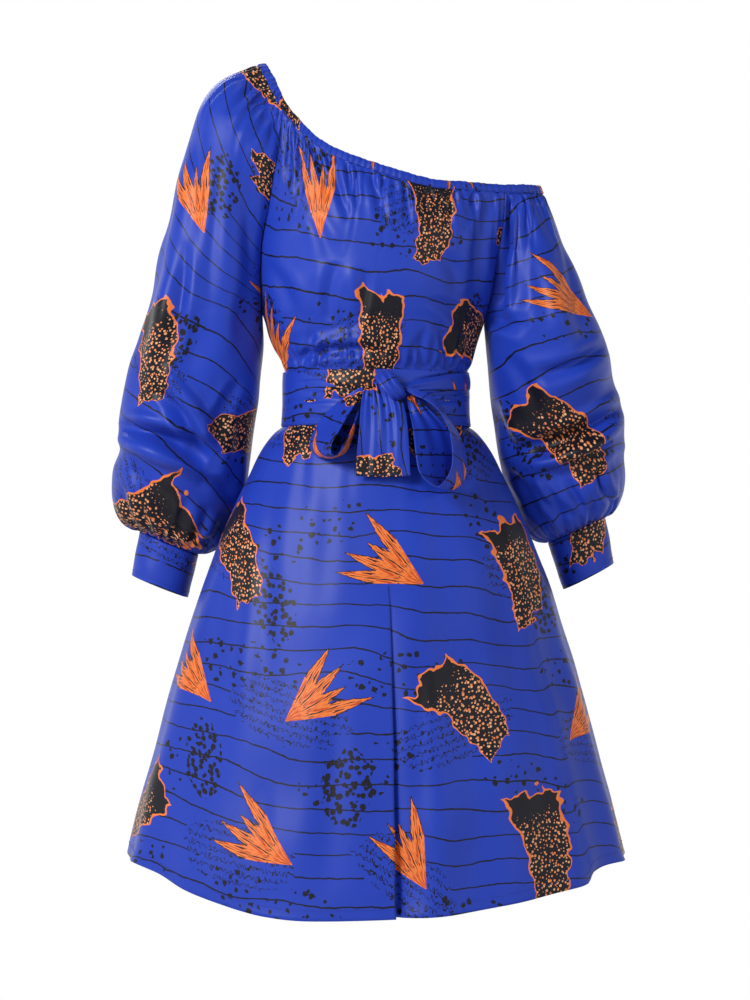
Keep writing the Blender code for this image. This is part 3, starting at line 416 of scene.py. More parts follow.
# Creases, listed for each piece: a soft trough from a to b as seen from the front or the
# back, bent sideways by bend, with a low ridge on each side: ax, az, bx, bz, bend, breadth, depth.
creases = {
    "bodiceFront": [
        (-110, -62, -108, -148, 0, 4, 3.2), (-96, -70, -95, -162, 0, 4, 3.0),
        (-82, -90, -58, -168, 2, 4, 3.0), (-61, -102, -32, -195, -2, 4.5, 3.0),
        (-39, -112, -25, -175, 0, 4, 2.4), (-15, -120, 9, -195, 3, 5, 2.8), (12, -128, 2, -178, 0, 4, 2.2),
        (40, -135, 42, -202, -2, 5, 2.4), (68, -141, 60, -185, 0, 4, 2.2), (95, -144, 90, -208, 2, 5, 2.4),
        (122, -146, 118, -195, 0, 4, 2.2), (142, -150, 138, -225, 0, 5, 2.8),
        (-58, -320, -50, -245, 5, 7, 4.2), (-22, -325, -15, -252, -4, 6, 3.6),
        (-38, -330, -32, -255, 0, 7, -2.2), (-110, -370, 20, -358, 9, 6, 5.0),
        (-108, -355, 12, -345, 9, 7, -2.6), (-135, -245, -100, -330, 6, 9, 3.6),
        (-96, -381, -80, -330, -2, 4.5, 3.0), (-75, -382, -58, -338, 2, 4, 2.8),
        (-12, -382, -20, -350, 0, 4, 2.0), (42, -382, 50, -340, 0, 4, 2.6),
        (60, -382, 58, -330, 3, 4.5, 3.2), (90, -381, 78, -320, -3, 5, 3.2),
        (110, -378, 118, -332, 0, 4, 2.8), (135, -172, 128, -305, -5, 7, 5.0),
        (65, -292, 118, -330, 6, 7, 3.0), (80, -230, 108, -280, 4, 9, 2.4),
        (-82, -182, -58, -245, 4, 7, 2.4),
    ],
    "bodiceBack": [
        (-108, -18, -72, -105, 3, 5, 2.3), (-80, -35, -52, -138, -2, 5, 2.1),
        (-50, -48, -30, -130, 0, 5, 2.0), (-20, -65, -5, -162, 3, 5, 2.2), (15, -82, 25, -155, 0, 5, 1.8),
        (48, -102, 55, -192, -2, 5, 2.0), (85, -118, 90, -185, 0, 5, 1.8),
        (118, -130, 122, -218, 3, 5, 2.2), (-105, -381, -80, -315, 3, 5, 2.4),
        (-72, -382, -58, -338, 0, 4, 1.8), (-42, -382, -32, -318, -3, 5, 2.1),
        (2, -382, 8, -345, 0, 4, 1.6), (35, -382, 25, -325, 3, 5, 2.0), (68, -382, 62, -342, 0, 4, 1.7),
        (100, -381, 88, -312, -3, 5, 2.4), (-120, -245, -70, -330, 6, 9, 2.8),
        (118, -252, 68, -335, -6, 9, 2.8), (-32, -218, -15, -305, 5, 10, 2.2),
        (-58, -362, 55, -358, 5, 6, 2.0),
    ],
    "skirtFront": [
        (-120, -460, -142, -818, -6, 12, 2.2), (-90, -458, -98, -568, 3, 7, 0.8),
        (-58, -462, -75, -718, 4, 11, 1.0), (-30, -462, -38, -568, 0, 7, 0.6),
        (45, -468, 55, -592, 0, 7, 0.7), (75, -462, 88, -692, -4, 10, 1.0),
        (100, -460, 128, -618, 4, 8, 1.2), (118, -468, 180, -792, 6, 14, 2.4),
        (-180, -618, -225, -980, 5, 18, 3.6), (-52, -780, -68, -1049, 4, 16, 2.4),
        (55, -718, 60, -1049, -3, 12, 2.6), (192, -780, 230, -1018, 5, 16, 3.2),
        (115, -792, 130, -1049, 5, 16, 2.2), (-142, -892, -158, -1030, 3, 12, 1.8),
    ],
    "skirtBack": [
        (-112, -460, -142, -792, -6, 12, 3.0), (-85, -458, -95, -592, 3, 8, 2.0),
        (-50, -462, -65, -768, 4, 12, 2.6), (-18, -462, -20, -618, 0, 8, 1.8),
        (18, -462, 22, -792, 0, 12, 2.6), (50, -462, 65, -618, 0, 8, 2.0),
        (85, -462, 118, -780, 5, 12, 2.8), (110, -462, 155, -668, -5, 9, 2.2),
        (-170, -618, -212, -992, 6, 18, 3.6), (180, -618, 225, -992, -6, 18, 3.6),
        (-58, -792, -78, -1042, 5, 16, 2.6), (80, -792, 95, -1042, -5, 16, 2.6),
    ],
    "sleeveLeftFront": [
        (-142, -10, -188, -58, 3, 5, 2.6), (-135, -22, -172, -80, 3, 5, 2.4),
        (-128, -36, -158, -98, 2, 5, 2.2), (-119, -48, -142, -115, 2, 5, 2.0),
        (-112, -59, -129, -142, 2, 5, 2.4), (-225, -82, -242, -245, 6, 9, 3.4),
        (-192, -105, -210, -368, -7, 10, 3.6), (-239, -218, -269, -380, 7, 8, 6.0),
        (-162, -155, -170, -368, 6, 9, 3.6), (-258, -212, -282, -368, 5, 9, -3.0),
        (-324, -449, -208, -492, 5, 10, 20.0), (-282, -402, -220, -478, 7, 6, 10.0),
        (-272, -375, -198, -485, 8, 8, -9.0), (-308, -471, -200, -520, 5, 9, -6.0),
        (-172, -392, -202, -475, -5, 7, 5.0), (-170, -442, -188, -542, 4, 8, 4.2),
        (-302, -495, -242, -568, -8, 9, 5.0), (-214, -515, -175, -542, 4, 7, 3.6),
        (-294, -588, -318, -525, 4, 5, 4.2), (-281, -589, -296, -532, 2, 4.5, 3.8),
        (-270, -581, -200, -601, 5, 5, 5.0), (-252, -592, -238, -540, -2, 5, 3.8),
        (-232, -599, -210, -549, -3, 5, 3.8), (-225, -606, -190, -568, -4, 5, 3.2),
    ],
    "sleeveRightFront": [
        (165, -155, 170, -230, 0, 5, 3.0), (180, -154, 200, -232, -3, 5, 2.4),
        (194, -152, 225, -218, -3, 5, 2.2), (205, -155, 242, -212, -3, 5, 1.8),
        (170, -165, 148, -330, -5, 9, 22.0), (225, -230, 268, -342, -8, 10, 3.6),
        (192, -242, 215, -330, 6, 9, 3.2), (132, -312, 192, -322, -4, 8, 6.0),
        (285, -348, 192, -390, 8, 8, 8.5), (310, -422, 178, -480, 10, 9, 14.0),
        (312, -448, 180, -500, 10, 8, -8.0), (295, -468, 225, -495, 6, 7, 6.5),
        (145, -422, 185, -498, -6, 9, 8.5), (162, -362, 205, -442, 6, 9, 4.0),
        (165, -510, 205, -558, 4, 5.5, 6.0), (190, -515, 235, -568, -4, 5, 5.5),
        (211, -525, 248, -565, -3, 4.5, 4.5), (238, -515, 265, -558, -3, 4.5, 5.0),
        (276, -495, 294, -548, -5, 5, 7.0), (268, -505, 330, -468, 5, 7, -3.0),
        (229, -596, 185, -542, -4, 5, 3.6), (241, -590, 215, -538, -3, 5, 3.6),
        (269, -575, 275, -528, 2, 5, 3.8), (288, -560, 310, -535, 3, 4.5, 3.4),
    ],
    "sleeveLeftBack": [
        (-158, -30, -188, -92, 3, 6, 2.2), (-138, -55, -158, -130, 2, 6, 2.2),
        (-220, -105, -242, -330, 7, 10, 3.0), (-180, -130, -195, -368, -6, 10, 3.0),
        (-282, -418, -192, -505, 8, 10, 5.0), (-315, -468, -232, -512, 8, 10, 4.5),
        (-175, -392, -212, -492, -5, 8, 3.6), (-292, -588, -310, -528, 3, 5, 3.0),
        (-275, -590, -282, -530, 0, 5, 3.0), (-258, -595, -248, -538, -2, 5, 3.0),
        (-240, -600, -215, -550, -3, 5, 2.8),
    ],
    "sleeveRightBack": [
        (175, -168, 190, -245, -3, 6, 2.4), (200, -168, 232, -238, -3, 6, 2.2),
        (220, -242, 262, -368, -8, 10, 3.0), (188, -292, 205, -442, 5, 10, 3.0),
        (300, -418, 192, -482, 9, 10, 5.0), (285, -475, 212, -510, 6, 9, 3.6),
        (158, -392, 182, -498, -5, 8, 3.0), (232, -594, 200, -530, -4, 5, 3.0),
        (248, -586, 230, -520, -2, 5, 3.0), (265, -576, 268, -515, 2, 5, 3.0),
        (280, -566, 298, -520, 3, 5, 2.8),
    ],
    "sashFront": [
        (-100, -396, -15, -410, 4, 3.0, 2.6), (-115, -422, -30, -418, 3, 3.4, 2.2),
        (-108, -441, -35, -435, -2, 3.4, 1.9), (60, -424, 118, -418, 3, 3.4, 2.2),
        (34, -414, 128, -408.5, 1.5, 2.2, 5.0), (45, -394, 120, -384, 2, 2.2, 2.6),
        (28, -428, 90, -432, 3, 3.2, 1.8), (52, -440, 112, -434, -2, 3.4, 1.9),
        (-95, -408, -45, -412, 0, 3, 1.3), (80, -448, 118, -440, 0, 3, 0.9),
    ],
    "sashBack": [
        (-100, -400, 5, -408, 3, 4, 1.4), (-45, -420, 80, -415, 3, 4, 1.3),
        (-108, -438, -20, -432, -2, 4, 1.2), (30, -442, 108, -432, 2, 4, 1.2),
    ],
}


def gridNormals(grid, loop=False):
    if loop:
        across = np.roll(grid, -1, 1) - np.roll(grid, 1, 1)
    else:
        across = np.gradient(grid, axis=1)
    return unit(np.cross(across, np.gradient(grid, axis=0)))


def lengthsOf(grid, axis):      # how far each point is along its column (0) or row (1)
    steps = np.linalg.norm(np.diff(grid, axis=axis), axis=-1)
    start = np.zeros_like(np.take(steps, [0], axis=axis))
    return np.concatenate((start, np.cumsum(steps, axis=axis)), axis=axis)


def edgeFade(grid, loop=False, ease=9.0):     # 0 on the edges of a piece, so that its seams stay put
    fade = np.ones(grid.shape[:2])
    for axis in ((0,) if loop else (0, 1)):
        run = lengthsOf(grid, axis)
        total = np.take(run, [-1], axis=axis)
        fade *= np.clip(np.minimum(run, total - run) / ease, 0, 1) ** 0.7
    return fade


creaseForm = {
    "facing": 2.5, "rest": 0.1, "tips": 0.7, "start": 0.75, "widening": 0.5, "ridgeAt": 2.0, "ridge": 0.45,
}


def creased(grid, names, loop=False):
    normals = gridNormals(grid, loop)
    scale = 1 + grid[..., 1] / eye["distance"]
    x, z = grid[..., 0] / scale, (grid[..., 2] - eye["height"]) / scale + eye["height"]
    out = np.zeros(x.shape)
    for side, name in names:
        faces = np.clip(side * normals[..., 1] * creaseForm["facing"] + creaseForm["rest"], 0, 1)
        for ax, az, bx, bz, bend, breadth, depth in creases[name]:
            run = np.array([bx - ax, bz - az], float)
            length = np.linalg.norm(run)
            run /= length
            along = ((x - ax) * run[0] + (z - az) * run[1]) / length
            off = (x - ax) * -run[1] + (z - az) * run[0] - bend * 4 * along * (1 - along)
            ends = np.sin(math.pi * np.clip(along, 0, 1)) ** creaseForm["tips"]
            wide = breadth * (creaseForm["start"] + creaseForm["widening"] * np.clip(along, 0, 1))
            ridge = np.exp(-(((np.abs(off) - creaseForm["ridgeAt"] * wide) / wide) ** 2))
            out -= depth * ends * faces * (np.exp(-((off / wide) ** 2)) - creaseForm["ridge"] * ridge)
    return grid + normals * (out * edgeFade(grid, loop))[..., None]


def gathered(grid, count, seed, reach, depth, loop=False):     # gathers that run out from the first row
    run = lengthsOf(grid, 0)
    across = lengthsOf(grid, 1)[0]
    part = across / across[-1]
    reaches = reach * (0.8 + 0.45 * np.sin(2 * math.pi * (part * count * 0.31 + seed * 0.37)))
    fade = (1 - np.exp(-run / 3.0)) * np.exp(-((run / reaches[None, :]) ** 1.6))
    sides = 1.0 if loop else np.clip(np.minimum(part, 1 - part) * 30, 0, 1)
    wave = uneven(part, count, seed) * sides
    return grid + gridNormals(grid, loop) * (depth * wave * fade)[..., None]


def restless(grid, seed, size, depth, loop=False):      # the slight unevenness of cloth that was worn
    dice = np.random.default_rng(seed)
    out = np.zeros(grid.shape[:2])
    for _ in range(7):
        way = unit(dice.normal(size=3))
        length = size * dice.uniform(0.6, 1.6)
        out += np.sin(grid @ way * 2 * math.pi / length + dice.uniform(0, 6.28)) / 7
    return grid + gridNormals(grid, loop) * (2.2 * depth * out * edgeFade(grid, loop, 14.0))[..., None]


def tucked(grid, reach):        # carries the first row on under the piece that covers its seam
    return np.concatenate((grid[:1] + unit(grid[:1] - grid[1:2]) * reach, grid))


def sideTucked(grid, reach, under):     # carries both side edges on, as seam allowances
    normals = gridNormals(grid)
    first = grid[:, :1] + unit(grid[:, :1] - grid[:, 1:2]) * reach - normals[:, :1] * under
    last = grid[:, -1:] + unit(grid[:, -1:] - grid[:, -2:-1]) * reach - normals[:, -1:] * under
    return np.concatenate((first, grid, last), 1)


def rowAt(grid, drop, lift, loop=False):        # a line along a piece, that far in from its last row
    run = lengthsOf(grid[::-1], 0)
    lifted = (grid + gridNormals(grid, loop) * lift)[::-1]
    columns = range(grid.shape[1])
    return np.array([[np.interp(drop, run[:, c], lifted[:, c, k]) for k in range(3)] for c in columns])


# Meshes.
def placed(name, data):
    made = bpy.data.objects.new(name, data)
    bpy.context.scene.collection.objects.link(made)
    return made


def outwards(grid, middle, loop=False):     # turns a grid over where its faces look inwards
    facing = np.sum(gridNormals(grid, loop) * (grid - middle), -1)
    return grid if np.mean(facing) > 0 else grid[:, ::-1]


def flatOf(grid, style, loop=False):        # the cloth's flat cut in metres, for the print
    closed = np.concatenate((grid, grid[:, :1]), 1) if loop else grid
    across = lengthsOf(closed, 1)
    across = (across - across[:, -1:] / 2) * style.get("fullness", 1.0)
    down = lengthsOf(closed, 0)[:, closed.shape[1] // 2][:, None]
    if "fan" in style:
        reach = style["fan"] + down
        across, down = reach * np.sin(across / reach), reach * np.cos(across / reach) - style["fan"]
    turn = math.radians(style.get("printTurn", 0))
    u = across * math.cos(turn) + down * math.sin(turn)
    v = across * math.sin(turn) - down * math.cos(turn)
    return np.stack((u, v), -1) * mm + np.array(style.get("printAt", (0, 0)))


def addShell(name, grid, flat, style, materials, loop=False, weldFrom=None):
    count, columns = grid.shape[:2]
    index = np.arange(count * columns).reshape(count, columns)
    if weldFrom is not None:
        index[weldFrom:, -1] = index[weldFrom:, 0]
    r, c = np.meshgrid(np.arange(count - 1), np.arange(columns if loop else columns - 1), indexing="ij")
    n = (c + 1) % columns
    quads = np.stack((index[r, c], index[r, n], index[r + 1, n], index[r + 1, c]), -1).reshape(-1, 4)
    corners = np.stack((flat[r, c], flat[r, c + 1], flat[r + 1, c + 1], flat[r + 1, c]), -2)
    used, faces = np.unique(quads, return_inverse=True)
    points = (grid.reshape(-1, 3)[used] - np.array([shoulderX, 0, 0])) * mm
    mesh = bpy.data.meshes.new(name)
    mesh.from_pydata(points.tolist(), [], faces.reshape(-1, 4).tolist())
    mesh.uv_layers.new(name="flat").data.foreach_set("uv", corners.astype("f").ravel())
    mesh.shade_smooth()
    piece = placed(name, mesh)
    for material in materials:
        mesh.materials.append(material)
    wall = piece.modifiers.new("wall", "SOLIDIFY")
    wall.thickness = style.get("wall", 0.8) * mm
    wall.offset = -1
    wall.use_even_offset = False
    wall.material_offset = len(materials) - 1
    return piece


def dress(piece, node):
    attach(piece, "root")
    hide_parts(node)


# Materials.
def hexColour(code):
    parts = [int(code[i:i + 2], 16) / 255 for i in (1, 3, 5)]
    linear = [p / 12.92 if p <= 0.04045 else ((p + 0.055) / 1.055) ** 2.4 for p in parts]
    return (*linear, 1)


def isSocket(value):
    return isinstance(value, bpy.types.NodeSocket)


def addNode(tree, kind, inputs=None, **settings):
    made = tree.nodes.new(kind)
    for name, value in settings.items():
        setattr(made, name, value)
    for name, value in (inputs or {}).items():
        if isSocket(value):
            tree.links.new(value, made.inputs[name])
        else:
            made.inputs[name].default_value = value
    return made


def calc(operation, *values):       # a math node in the tree of the first socket among the values
    tree = next(value.id_data for value in values if isSocket(value))
    return addNode(tree, "ShaderNodeMath", dict(enumerate(values)), operation=operation).outputs[0]


mathNodes = "ADD SUBTRACT MULTIPLY DIVIDE MULTIPLY_ADD LESS_THAN GREATER_THAN ABSOLUTE FLOOR SINE"
plus, minus, times, over, timesPlus, isBelow, isAbove, absolute, floored, sine = (
    functools.partial(calc, name) for name in mathNodes.split()
)


def noiseOf(place, size, detail=2.0):
    inputs = {"Vector": place, "Scale": 1 / size, "Detail": detail}
    return addNode(place.id_data, "ShaderNodeTexNoise", inputs, noise_dimensions="2D").outputs["Fac"]


def dotsOf(place, size):        # distance to the nearest scattered dot, in dot pitches, and its dice
    inputs = {"Vector": place, "Scale": 1 / size}
    node = addNode(place.id_data, "ShaderNodeTexVoronoi", inputs, voronoi_dimensions="2D")
    return node.outputs["Distance"], splitUp(node.outputs["Color"])


def splitUp(vector):
    return addNode(vector.id_data, "ShaderNodeSeparateXYZ", {0: vector}).outputs


def joined(x, y, z):
    return addNode(x.id_data, "ShaderNodeCombineXYZ", {0: x, 1: y, 2: z}).outputs[0]


def cellsOf(x, y, pitch, seed, wander, tilt):       # a brick lattice of turned, shifted places for motifs
    row = floored(over(y, pitch[1]))
    shifted = plus(over(x, pitch[0]), times(row, 0.37))
    column = floored(shifted)
    cell = {"Vector": joined(column, row, float(seed))}
    dice = addNode(x.id_data, "ShaderNodeTexWhiteNoise", cell, noise_dimensions="3D").outputs
    first, second, third = splitUp(dice["Color"])
    localX = times(minus(minus(shifted, column), 0.5), pitch[0])
    localY = minus(y, times(plus(row, 0.5), pitch[1]))
    localX = minus(localX, times(minus(first, 0.5), wander))
    localY = minus(localY, times(minus(second, 0.5), wander))
    angle = times(minus(third, 0.5), tilt)
    across, up = calc("COSINE", angle), sine(angle)
    turnedX = plus(times(localX, across), times(localY, up))
    turnedY = minus(times(localY, across), times(localX, up))
    return turnedX, turnedY, dice["Value"], first


def laidOver(mask, under, colour):
    tree = (mask if isSocket(mask) else under).id_data
    return addNode(tree, "ShaderNodeMix", {0: mask, 6: under, 7: colour}, data_type="RGBA").outputs[2]


# The print, in millimetres of flat cloth: thin wavy lines, curly lines, pebbles, dotted pods with an
# orange rim and sprays of veined leaves, each on its own lattice.
hues = {name: hexColour(code) for name, code in {
    "ground": "#2143C0", "deep": "#1A39AE", "ink": "#11101C", "orange": "#F5803C", "pale": "#FBBE8C",
    # faded: the wrong side's blue, partly the print fading and partly painted shade, darker for the inside
    # of the dress
    "ember": "#C94A1C", "fadedAndShaded": "#2B3A98", "thread": "#2A38A6",
}.items()}
noises = {"slow": 150, "ragged": 21, "quick": 16, "fine": 5}
patches = {     # lattice pitches, seed, half sizes and raggedness of the patches of small motifs
    "curls": ((215.0, 172.0), 13, (78.0, 36.0), 0.9), "pebbles": ((190.0, 205.0), 7, (30.0, 46.0), 0.8),
    "blossoms": ((240.0, 150.0), 29, (84.0, 30.0), 0.7),
}
lines = {"pitch": 29.0, "width": 1.8, "swing": 34.0, "shake": 3.2}
curls = {"pitch": 10.5, "width": 1.9, "swing": 2.1, "shake": 9.0, "turns": 0.9, "tangle": 22.0}
pebbles = {"pitch": 8.4, "size": 0.4, "spread": 0.2, "shake": 0.3}
blossoms = {"pitch": 15.0, "size": 0.27, "spread": 0.2, "shake": -0.42}
motifs = {      # lattice of the large motifs, their size, and the chances that give leaves and pods
    "cells": ((192.0, 174.0), 3, 22.0, 2.4), "least": 0.84, "growth": 0.26, "leaves": 0.34, "pods": 0.98,
}
pods = {
    "half": 68.0, "width": 29.0, "bow": -13.0, "bowStart": 6.0, "taper": 8.0, "raggedSides": 18.0,
    "raggedEnds": -34.0, "endReach": 15, "endShake": -2.0, "rim": -1.1, "rimTaper": -1.3, "rimShake": -2.4,
    "dotPitch": 4.7, "dot": 0.12, "dotSpread": 0.24, "bareFrom": 0.62, "bareShake": 0.5,
}
leaves = {
    "spread": 0.25, "length": 112.0, "lengthSpread": 16.0, "width": 11.0, "root": 62.0, "fingers": 1.6,
    "bulge": 0.72, "shake": 3.0, "rim": -1.0, "grainRun": 0.09, "grain": 2.6, "emberFrom": 0.6,
    "inkTo": 0.33,
}


def printPattern(tree):
    flat = addNode(tree, "ShaderNodeUVMap", uv_map="flat").outputs[0]
    place = addNode(tree, "ShaderNodeVectorMath", {0: flat, 3: 1000.0}, operation="SCALE").outputs[0]
    x, y, _ = splitUp(place)
    slow, ragged = noiseOf(place, noises["slow"], 1), noiseOf(place, noises["ragged"], 1)
    quick, fine = noiseOf(place, noises["quick"]), noiseOf(place, noises["fine"])
    colour = laidOver(slow, hues["ground"], hues["deep"])

    def near(value, form):      # 1 on lines of that width at that pitch
        part = calc("FRACT", over(value, form["pitch"]))
        return isBelow(absolute(minus(part, 0.5)), form["width"] / form["pitch"] / 2)

    def patch(name):        # 1 inside ragged patches on a lattice
        pitch, seed, reach, roughness = patches[name]
        px, py, chance, _ = cellsOf(x, y, pitch, seed, 40.0, 1.2)
        wide, high = (calc("POWER", absolute(over(p, r)), 2.0) for p, r in ((px, reach[0]), (py, reach[1])))
        rim = plus(plus(wide, high), times(quick, roughness))
        return times(isBelow(rim, 1 + roughness / 2), isAbove(chance, 0.2)), py

    wave = timesPlus(slow, lines["swing"], timesPlus(quick, lines["shake"], y))
    curled, along = patch("curls")
    colour = laidOver(times(near(wave, lines), minus(1.0, curled)), colour, hues["ink"])
    looped = sine(timesPlus(quick, curls["tangle"], times(x, curls["turns"])))
    curly = timesPlus(looped, curls["swing"], timesPlus(fine, curls["shake"], along))
    colour = laidOver(times(curled, near(curly, curls)), colour, hues["ink"])
    distance, dice = dotsOf(place, pebbles["pitch"])
    size = timesPlus(dice[0], pebbles["spread"], pebbles["size"])
    pebbled = isBelow(plus(distance, times(fine, pebbles["shake"])), size)
    colour = laidOver(times(pebbled, patch("pebbles")[0]), colour, hues["ink"])
    distance, dice = dotsOf(place, blossoms["pitch"])
    petals = timesPlus(dice[1], blossoms["spread"], timesPlus(fine, blossoms["shake"], blossoms["size"]))
    colour = laidOver(times(isBelow(distance, petals), patch("blossoms")[0]), colour, hues["ink"])

    # Each motif place holds a pod or a spray of leaves.
    mx, my, chance, size = cellsOf(x, y, *motifs["cells"])
    scale = timesPlus(size, motifs["growth"], motifs["least"])
    mx, my = over(mx, scale), over(my, scale)
    isPod = times(isAbove(chance, motifs["leaves"]), isBelow(chance, motifs["pods"]))
    part = over(my, pods["half"])
    bow = timesPlus(times(part, part), pods["bow"], plus(mx, pods["bowStart"]))
    width = timesPlus(ragged, pods["raggedSides"], pods["width"] - pods["taper"])
    sides = minus(absolute(bow), timesPlus(part, pods["taper"], width))
    ends = timesPlus(ragged, pods["raggedEnds"], pods["half"] + pods["endReach"])
    ends = minus(absolute(my), timesPlus(fine, pods["endShake"], ends))
    rim = calc("MAXIMUM", sides, ends)
    inner = timesPlus(part, pods["rimTaper"], timesPlus(fine, pods["rimShake"], pods["rim"]))
    body = times(isPod, isBelow(rim, inner))
    distance, dice = dotsOf(place, pods["dotPitch"])
    bare = timesPlus(quick, pods["bareShake"], minus(part, pods["bareFrom"]))       # one end has no dots
    dots = timesPlus(calc("MAXIMUM", bare, 0.0), -1.0, pods["dot"])
    dots = timesPlus(dice[0], pods["dotSpread"], dots)
    colour = laidOver(times(isPod, isBelow(rim, 0.0)), colour, hues["orange"])
    colour = laidOver(body, colour, hues["ink"])
    dotColour = laidOver(dice[1], hues["orange"], hues["pale"])
    colour = laidOver(times(body, isBelow(distance, dots)), colour, dotColour)

    up = plus(my, leaves["root"])
    reach = calc("SQRT", timesPlus(mx, mx, times(up, up)))
    angle = calc("ARCTAN2", mx, up)
    finger = floored(over(angle, leaves["spread"]))
    middle = times(plus(finger, 0.5), leaves["spread"])
    side = times(reach, sine(minus(angle, middle)))
    length = timesPlus(sine(timesPlus(finger, 2.3, chance)), leaves["lengthSpread"], leaves["length"])
    grown = calc("MINIMUM", over(reach, length), 1.0)
    broad = sine(times(calc("POWER", grown, leaves["bulge"]), math.pi))
    broad = timesPlus(broad, leaves["width"], timesPlus(fine, leaves["shake"], -leaves["shake"] / 2))
    rim = minus(absolute(side), broad)
    isLeaf = isBelow(absolute(plus(finger, 0.5)), leaves["fingers"])
    isLeaf = times(times(isBelow(chance, motifs["leaves"]), isLeaf), isBelow(grown, 0.995))
    blade = times(isLeaf, isBelow(rim, leaves["rim"]))
    grain = noiseOf(joined(side, times(reach, leaves["grainRun"]), 0.0), leaves["grain"], 1)
    colour = laidOver(times(isLeaf, isBelow(rim, 0.0)), colour, hues["ink"])
    colour = laidOver(blade, colour, hues["orange"])
    colour = laidOver(times(blade, isAbove(grain, leaves["emberFrom"])), colour, hues["ember"])
    return laidOver(times(blade, isBelow(grain, leaves["inkTo"])), colour, hues["ink"])


def newMaterial(name, roughness, colour=hues["ground"]):
    material = bpy.data.materials.new(name)
    material.use_nodes = True
    shader = material.node_tree.nodes["Principled BSDF"]
    shader.inputs["Base Color"].default_value = colour
    shader.inputs["Roughness"].default_value = roughness
    return material


# Printed satin cotton: a soft sheen over the prints, and a plain weave drawn at 1.1 mm, coarser than
# the real 0.3 mm, so that it breaks up the highlights at this distance.
cotton = {
    "weave": 1800.0, "weaveShare": 0.35, "slub": 0.004, "strength": 0.12, "depth": 0.0004, "fade": 0.72,
}


def cottonMaterial(name, roughness, wrong=False):
    material = newMaterial(name, roughness)
    tree = material.node_tree
    shader = tree.nodes["Principled BSDF"]
    colour = printPattern(tree)
    if wrong:       # the print shows through the wrong side only faintly, over a darker blue that is painted shade for the inside of the dress
        colour = laidOver(cotton["fade"], colour, hues["fadedAndShaded"])
    tree.links.new(colour, shader.inputs["Base Color"])
    flat = addNode(tree, "ShaderNodeUVMap", uv_map="flat").outputs[0]
    weave = addNode(tree, "ShaderNodeTexChecker", {"Vector": flat, "Scale": cotton["weave"]}).outputs["Fac"]
    height = timesPlus(weave, cotton["weaveShare"], noiseOf(flat, cotton["slub"], 3))
    bump = {"Height": height, "Strength": cotton["strength"], "Distance": cotton["depth"]}
    tree.links.new(addNode(tree, "ShaderNodeBump", bump).outputs[0], shader.inputs["Normal"])
    for socket, value in (("Specular IOR Level", 0.3), ("Sheen Weight", 0.04), ("Sheen Roughness", 0.5)):
        shader.inputs[socket].default_value = value
    return material


printedCotton = cottonMaterial("printed satin cotton", 0.44)
# the wrong side is coloured darker as painted shade for the inside of the dress
wrongSide = cottonMaterial("wrong side of the printed cotton", 0.62, True)
thread = newMaterial("blue polyester sewing thread", 0.55, hues["thread"])      # dull and slightly darker
print("materials made")

# Rows of stitches: a line of points becomes a curve, and a thread stands on it at every pitch.
stitches = {"Pitch": 0.0032, "Length": 0.0012, "Thickness": 0.00032, "Seed": 4}
threadLift = 0.25       # how far a row stands off the cloth


def stitchTree():
    tree = bpy.data.node_groups.new("row of stitches", "GeometryNodeTree")
    kinds = {**dict.fromkeys(stitches, "Float"), "Seed": "Int", "Thread": "Material"}
    kinds = {"Geometry": "Geometry", **kinds}
    for name, kind in kinds.items():
        socket = tree.interface.new_socket(name, in_out="INPUT", socket_type="NodeSocket" + kind)
        if name in stitches:
            socket.default_value = stitches[name]
    tree.interface.new_socket("Geometry", in_out="OUTPUT", socket_type="NodeSocketGeometry")
    given = tree.nodes.new("NodeGroupInput").outputs

    def made(kind, inputs=None, output=0, **settings):
        return addNode(tree, kind, inputs, **settings).outputs[output]

    curve = made("GeometryNodeMeshToCurve", {"Mesh": given["Geometry"]})
    even = made("GeometryNodeResampleCurve", {"Curve": curve, "Length": given["Pitch"]}, mode="LENGTH")
    tangent = made("GeometryNodeInputTangent")
    turn = made("FunctionNodeAlignRotationToVector", {"Vector": tangent}, axis="Z")
    ball = made("GeometryNodeMeshIcoSphere", {"Radius": 1.0, "Subdivisions": 1})
    size = joined(given["Thickness"], given["Thickness"], given["Length"])
    bead = made("GeometryNodeTransform", {"Geometry": ball, "Scale": size})
    chance = {2: 0.85, 3: 1.15, "Seed": given["Seed"]}
    chance = made("FunctionNodeRandomValue", chance, 1, data_type="FLOAT")
    copies = {"Points": even, "Instance": bead, "Rotation": turn, "Scale": chance}
    copies = made("GeometryNodeInstanceOnPoints", copies)
    real = made("GeometryNodeRealizeInstances", {"Geometry": copies})
    done = made("GeometryNodeSetMaterial", {"Geometry": real, "Material": given["Thread"]})
    addNode(tree, "NodeGroupOutput", {"Geometry": done})
    return tree


rowOfStitches = stitchTree()


def sewn(name, points, node, closed=False, seed=4):
    points = (np.asarray(points) - np.array([shoulderX, 0, 0])) * mm
    count = len(points)
    edges = [(i, (i + 1) % count) for i in range(count if closed else count - 1)]
    mesh = bpy.data.meshes.new(name + " line")
    mesh.from_pydata(points.tolist(), edges, [])
    line = placed(name + " line", mesh)
    modifier = line.modifiers.new("stitches", "NODES")
    modifier.node_group = rowOfStitches
    values = {**stitches, "Seed": seed, "Thread": thread}
    for socket in rowOfStitches.interface.items_tree:
        if socket.in_out == "INPUT" and socket.name in values:
            modifier[socket.identifier] = values[socket.name]
    bpy.context.view_layer.update()
    made = bpy.data.meshes.new_from_object(line.evaluated_get(bpy.context.evaluated_depsgraph_get()))
    bpy.data.objects.remove(line)
    piece = placed(name, made)
    dress(piece, node)
    return piece


